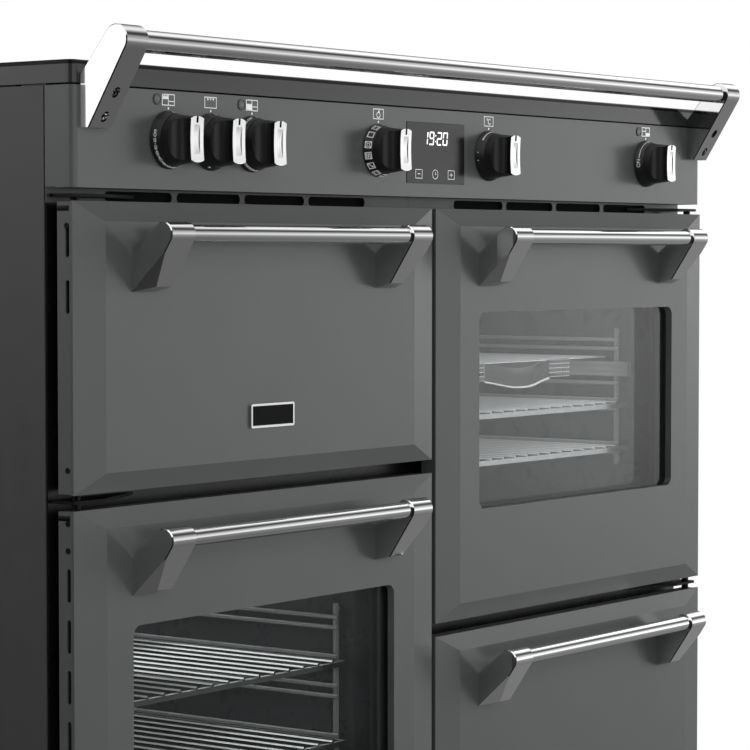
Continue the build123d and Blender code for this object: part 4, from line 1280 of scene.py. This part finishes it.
def draw_scoop(middle, front):
    """Draws the basket's solid front, whose lower edge sags in the middle and ends in a sloped lip."""
    near = front + BASKET_FRONT
    low = BASKET_FLOOR - BASKET_WALL
    width = 2 * SCOOP_HALF
    add_grid(18, 4, math.pi / 2, (width, 1.0, BASKET_WALL), (middle, near, BASKET_FLOOR - BASKET_WALL / 2))
    slope = SCOOP_LIP * math.sin(math.pi / 4) / 2
    add_grid(18, 1, math.pi / 4, (width, SCOOP_LIP, SCOOP_LIP), (middle, near - slope, low - slope))
    select_where(lambda c, n: abs(c.x - middle) < DIP_HALF and c.z < low + DIP_HEIGHT)
    bpy.ops.transform.translate(
        value=(0, -SCOOP_BULGE, -SCOOP_DIP), use_proportional_edit=True,
        proportional_edit_falloff="SMOOTH", proportional_size=SCOOP_HALF)


class COOKER_OT_hob_zones(bpy.types.Operator):
    """Prints the cooking zones on the hob glass."""

    bl_idname = "cooker.hob_zones"
    bl_label = "Hob zones"

    def execute(self, context):
        sizes = settings().sizes
        low, high = corners("hob_glass")
        half = (high.x - low.x) / 2
        middle = (low + high) / 2
        piece = open_piece("hob_zones")
        for x, y, radius in HOB_ZONES[:sizes.zone_count]:
            where = Matrix.Translation(
                (middle.x + x * half, middle.y + y * MM, high.z + sizes.print_lift / 2))
            draw_arc(where, 0, 0, radius, ZONE_LINE, 0, 360, ZONE_PARTS)
            draw_bar(where, 0, 0, ZONE_MARK, ZONE_LINE)
            draw_bar(where, 0, 0, ZONE_LINE, ZONE_MARK)
        thicken(piece, sizes.print_lift)
        close_piece(piece, "body", "grey_ink")
        return {"FINISHED"}


HOB_ZONES = (
    (-0.727, -110.0, 96.0), (-0.727, 120.0, 78.0), (0.0, 0.0, 122.0),
    (0.727, -110.0, 78.0), (0.727, 120.0, 96.0),
)
ZONE_LINE = 1.6
ZONE_MARK = 14.0
ZONE_PARTS = 48


class COOKER_OT_stage(bpy.types.Operator):
    """Sets up the floor, the light and the camera."""

    bl_idname = "cooker.stage"
    bl_label = "Stage"

    def execute(self, context):
        scene = context.scene
        scene.view_settings.view_transform = "Standard"
        make_floor()
        make_world(scene)
        for name, spot, aim, size, power in ROOM_LAMPS:
            add_lamp(scene, name, spot, aim, size, power)
        for cavity, roof, mouth in OVEN_LAMPS:
            add_oven_lamps(scene, cavity, roof, mouth)
        lens = bpy.data.cameras.new("photo_camera")
        lens.lens = CAMERA_LENS
        lens.sensor_width = SENSOR_WIDTH
        camera = bpy.data.objects.new("photo_camera", lens)
        camera.location = CAMERA_PLACE
        camera.rotation_euler = CAMERA_TURN
        scene.collection.objects.link(camera)
        scene.camera = camera
        return {"FINISHED"}


CAMERA_PLACE = (-2.3606, -1.94525, 0.7338)
CAMERA_LENS = 133.5
SENSOR_WIDTH = 36.0
CAMERA_TURN = (math.radians(87.5), 0.0, math.radians(-53.43))
ROOM_LAMPS = (
    ("key_light", (-2.0, -3.0, 1.4), (0.0, -0.2, 0.5), 2.2, 40.0),
    ("fill_light", (2.3, -1.6, 0.6), (0.3, -0.2, 0.4), 1.8, 62.0),
    ("side_light", (-1.15, 0.35, 1.55), (-0.55, 0.1, 0.85), 0.6, 6.0),
)
OVEN_LAMPS = (("main_cavity", 0.46, 0.26), ("multi_cavity", 0.06, 0.74))
FLOOR_REACH = 14.0
FLOOR_ROUGHNESS = 0.7
WHITE_FROM = 0.05
WHITE_AT = 0.45


def add_lamp(scene, name, spot, aim, size, power, mirrored=False):
    """Hangs a square soft light, which metal mirrors only where asked."""
    lamp = bpy.data.lights.new(name, "AREA")
    lamp.size = size
    lamp.energy = power
    held = bpy.data.objects.new(name, lamp)
    held.location = spot
    held.rotation_euler = (Vector(aim) - Vector(spot)).to_track_quat("-Z", "Y").to_euler()
    held.visible_glossy = mirrored
    held.visible_camera = False
    scene.collection.objects.link(held)


def add_oven_lamps(scene, cavity, roof, mouth):
    """Puts the oven's own lamp under its roof, and a soft one in its mouth."""
    low, high = corners(cavity)
    room = high - low
    middle = low.x + room.x / 2
    spot = Vector((middle, low.y + room.y * ROOF_LAMP_DEPTH, high.z - ROOF_LAMP_DROP))
    add_lamp(scene, f"{cavity}_lamp", spot, spot - Vector((0, 0, 1)), ROOF_LAMP_SIZE, roof, True)
    spot = Vector((middle, low.y + MOUTH_LAMP_DEPTH, low.z + room.z * MOUTH_LAMP_RISE))
    add_lamp(scene, f"{cavity}_glow", spot, spot + Vector((0, 1, 0)), MOUTH_LAMP_SIZE, mouth)


ROOF_LAMP_DEPTH = 0.62
ROOF_LAMP_DROP = 24.0 * MM
ROOF_LAMP_SIZE = 0.26
MOUTH_LAMP_DEPTH = 16.0 * MM
MOUTH_LAMP_RISE = 0.4
MOUTH_LAMP_SIZE = 0.32


def box_distance(f):
    """How far a floor point lies outside the cooker's footprint."""
    x, y, _ = f.axes()
    low, high = cad_box
    out_x = abs(x - (low[0] + high[0]) / 2) - (high[0] - low[0]) / 2
    out_y = abs(y - (low[1] + high[1]) / 2) - (high[1] - low[1]) / 2
    return out_x.most(out_y)


def make_floor():
    """Lays the pale floor, which keeps the cooker's shadow and runs out to white."""
    bpy.ops.object.select_all(action="DESELECT")
    bpy.ops.mesh.primitive_grid_add(x_subdivisions=4, y_subdivisions=4, size=2 * FLOOR_REACH)
    floor = bpy.context.view_layer.objects.active
    floor.name = "studio_floor"
    material, f = new_finish("floor_paper")
    away = f.remap(box_distance(f), WHITE_FROM, WHITE_AT)
    camera, through = f.rays("Camera", "Transmission")
    paper = f.surface(Base_Color=(*settings().colours.floor, 1.0), Roughness=FLOOR_ROUGHNESS)
    white = f.node("ShaderNodeEmission", None, {"Color": (*WHITE, 1.0), "Strength": 1.0})
    f.close(f.node("ShaderNodeMixShader", None, {0: camera.most(through) * away, 1: paper, 2: white}))
    floor.data.materials.append(material)
    floor.visible_glossy = False


# what metal mirrors: light by the angle up from straight ahead of the cooker, in degrees
SKY_STOPS = tuple((0.5 + lean / 360.0, level) for lean, level in (
    (-180.0, 0.04), (-116.0, 0.05), (-99.0, 0.12), (-84.0, 0.17), (-54.0, 0.155), (-28.0, 0.22),
    (-15.4, 0.33), (-4.0, 0.90), (7.0, 1.0), (17.4, 0.64), (27.5, 0.42), (38.0, 0.14), (47.8, 0.04),
    (58.6, 0.18), (70.0, 0.68), (83.0, 1.25), (98.0, 1.25), (119.5, 0.70), (148.0, 0.06), (180.0, 0.06),
))
# towards the right that light grows from 0.90 to 1.45
RIGHT_GAIN = (0.76, 0.86, 0.90, 1.45)
BRIGHT_LEFT = grey(1.25)
LEFT_FROM = -0.05
LEFT_AT = -0.25
DARK_TO = 0.015
LIGHT_AT = 0.045
# a dark patch round the camera
FLAG_PLACE = (-0.78, -0.62)
FLAG_FROM = 0.86
FLAG_AT = 0.93
UNLIT = grey(0.015)
# what lights the paint and plastic, from the left to the right
SOFT_STOPS = ((0.0, 0.05), (0.3, 0.24), (0.6, 0.50), (1.0, 0.60))


def make_world(scene):
    """Makes the studio: white to the eye, with bands of light that metal mirrors."""
    world = bpy.data.worlds.new("studio")
    world.use_nodes = True
    scene.world = world
    f = Finish(world.node_tree, "ShaderNodeOutputWorld")
    across, along, height = f.split(f.node("ShaderNodeTexCoord", out="Generated"))
    lean = f.node("ShaderNodeMath", {"operation": "ARCTAN2"}, {0: height, 1: along * -1.0})
    sky = f.node("ShaderNodeValToRGB", {"stops": SKY_STOPS}, {0: lean / math.tau + 0.5})
    gain = f.remap(across, *RIGHT_GAIN)
    sky = f.node("ShaderNodeVectorMath", {"operation": "SCALE"}, {0: sky, "Scale": gain})
    left = f.remap(across, LEFT_AT, LEFT_FROM, 1.0, 0.0)
    low = f.remap(height, DARK_TO, LIGHT_AT, 1.0, 0.0)
    sky = f.tint(left, sky, f.tint(low, BRIGHT_LEFT, UNLIT))
    flag = f.remap(across * FLAG_PLACE[0] + along * FLAG_PLACE[1], FLAG_FROM, FLAG_AT)
    sky = f.tint(flag, sky, UNLIT)
    soft = f.node("ShaderNodeValToRGB", {"stops": SOFT_STOPS}, {0: across * 0.5 + 0.5})
    camera, through, glossy = f.rays("Camera", "Transmission", "Glossy")
    colour = f.tint(camera.most(through), f.tint(glossy, soft, sky), WHITE)
    f.close(f.node("ShaderNodeBackground", None, {"Color": colour, "Strength": 1.0}))


STEPS = (
    "finishes", "fascia_marks", "knob_scales", "display_face", "rail_screws", "lens_rims", "seals",
    "liner_fittings", "oven_basket", "hob_zones", "stage",
)


class COOKER_PT_panel(bpy.types.Panel):
    """Lists the cooker's settings and steps in the sidebar."""

    bl_idname = "COOKER_PT_panel"
    bl_label = "Range cooker"
    bl_space_type = "VIEW_3D"
    bl_region_type = "UI"
    bl_category = "Cooker"

    def draw(self, context):
        held = context.scene.cooker
        for group in (held.sizes, held.colours):
            for key in group.bl_rna.properties.keys():
                if key not in ("rna_type", "name"):
                    self.layout.prop(group, key)
        for step in STEPS:
            self.layout.operator(f"cooker.{step}")


CLASSES = (
    CookerSizes, CookerColours, CookerSettings,
    COOKER_OT_finishes, COOKER_OT_fascia_marks, COOKER_OT_knob_scales, COOKER_OT_display_face,
    COOKER_OT_rail_screws, COOKER_OT_lens_rims, COOKER_OT_seals, COOKER_OT_liner_fittings,
    COOKER_OT_oven_basket, COOKER_OT_hob_zones, COOKER_OT_stage, COOKER_PT_panel,
)


def register():
    """Adds the cooker's classes and settings to Blender."""
    for made in CLASSES:
        bpy.utils.register_class(made)
    bpy.types.Scene.cooker = PointerProperty(type=CookerSettings)


def unregister():
    """Takes the cooker's classes and settings out of Blender."""
    del bpy.types.Scene.cooker
    for made in reversed(CLASSES):
        bpy.utils.unregister_class(made)


def main():
    """Builds the whole scene in order."""
    register()
    for step in STEPS:
        getattr(bpy.ops.cooker, step)()


if __name__ == "__main__":
    main()
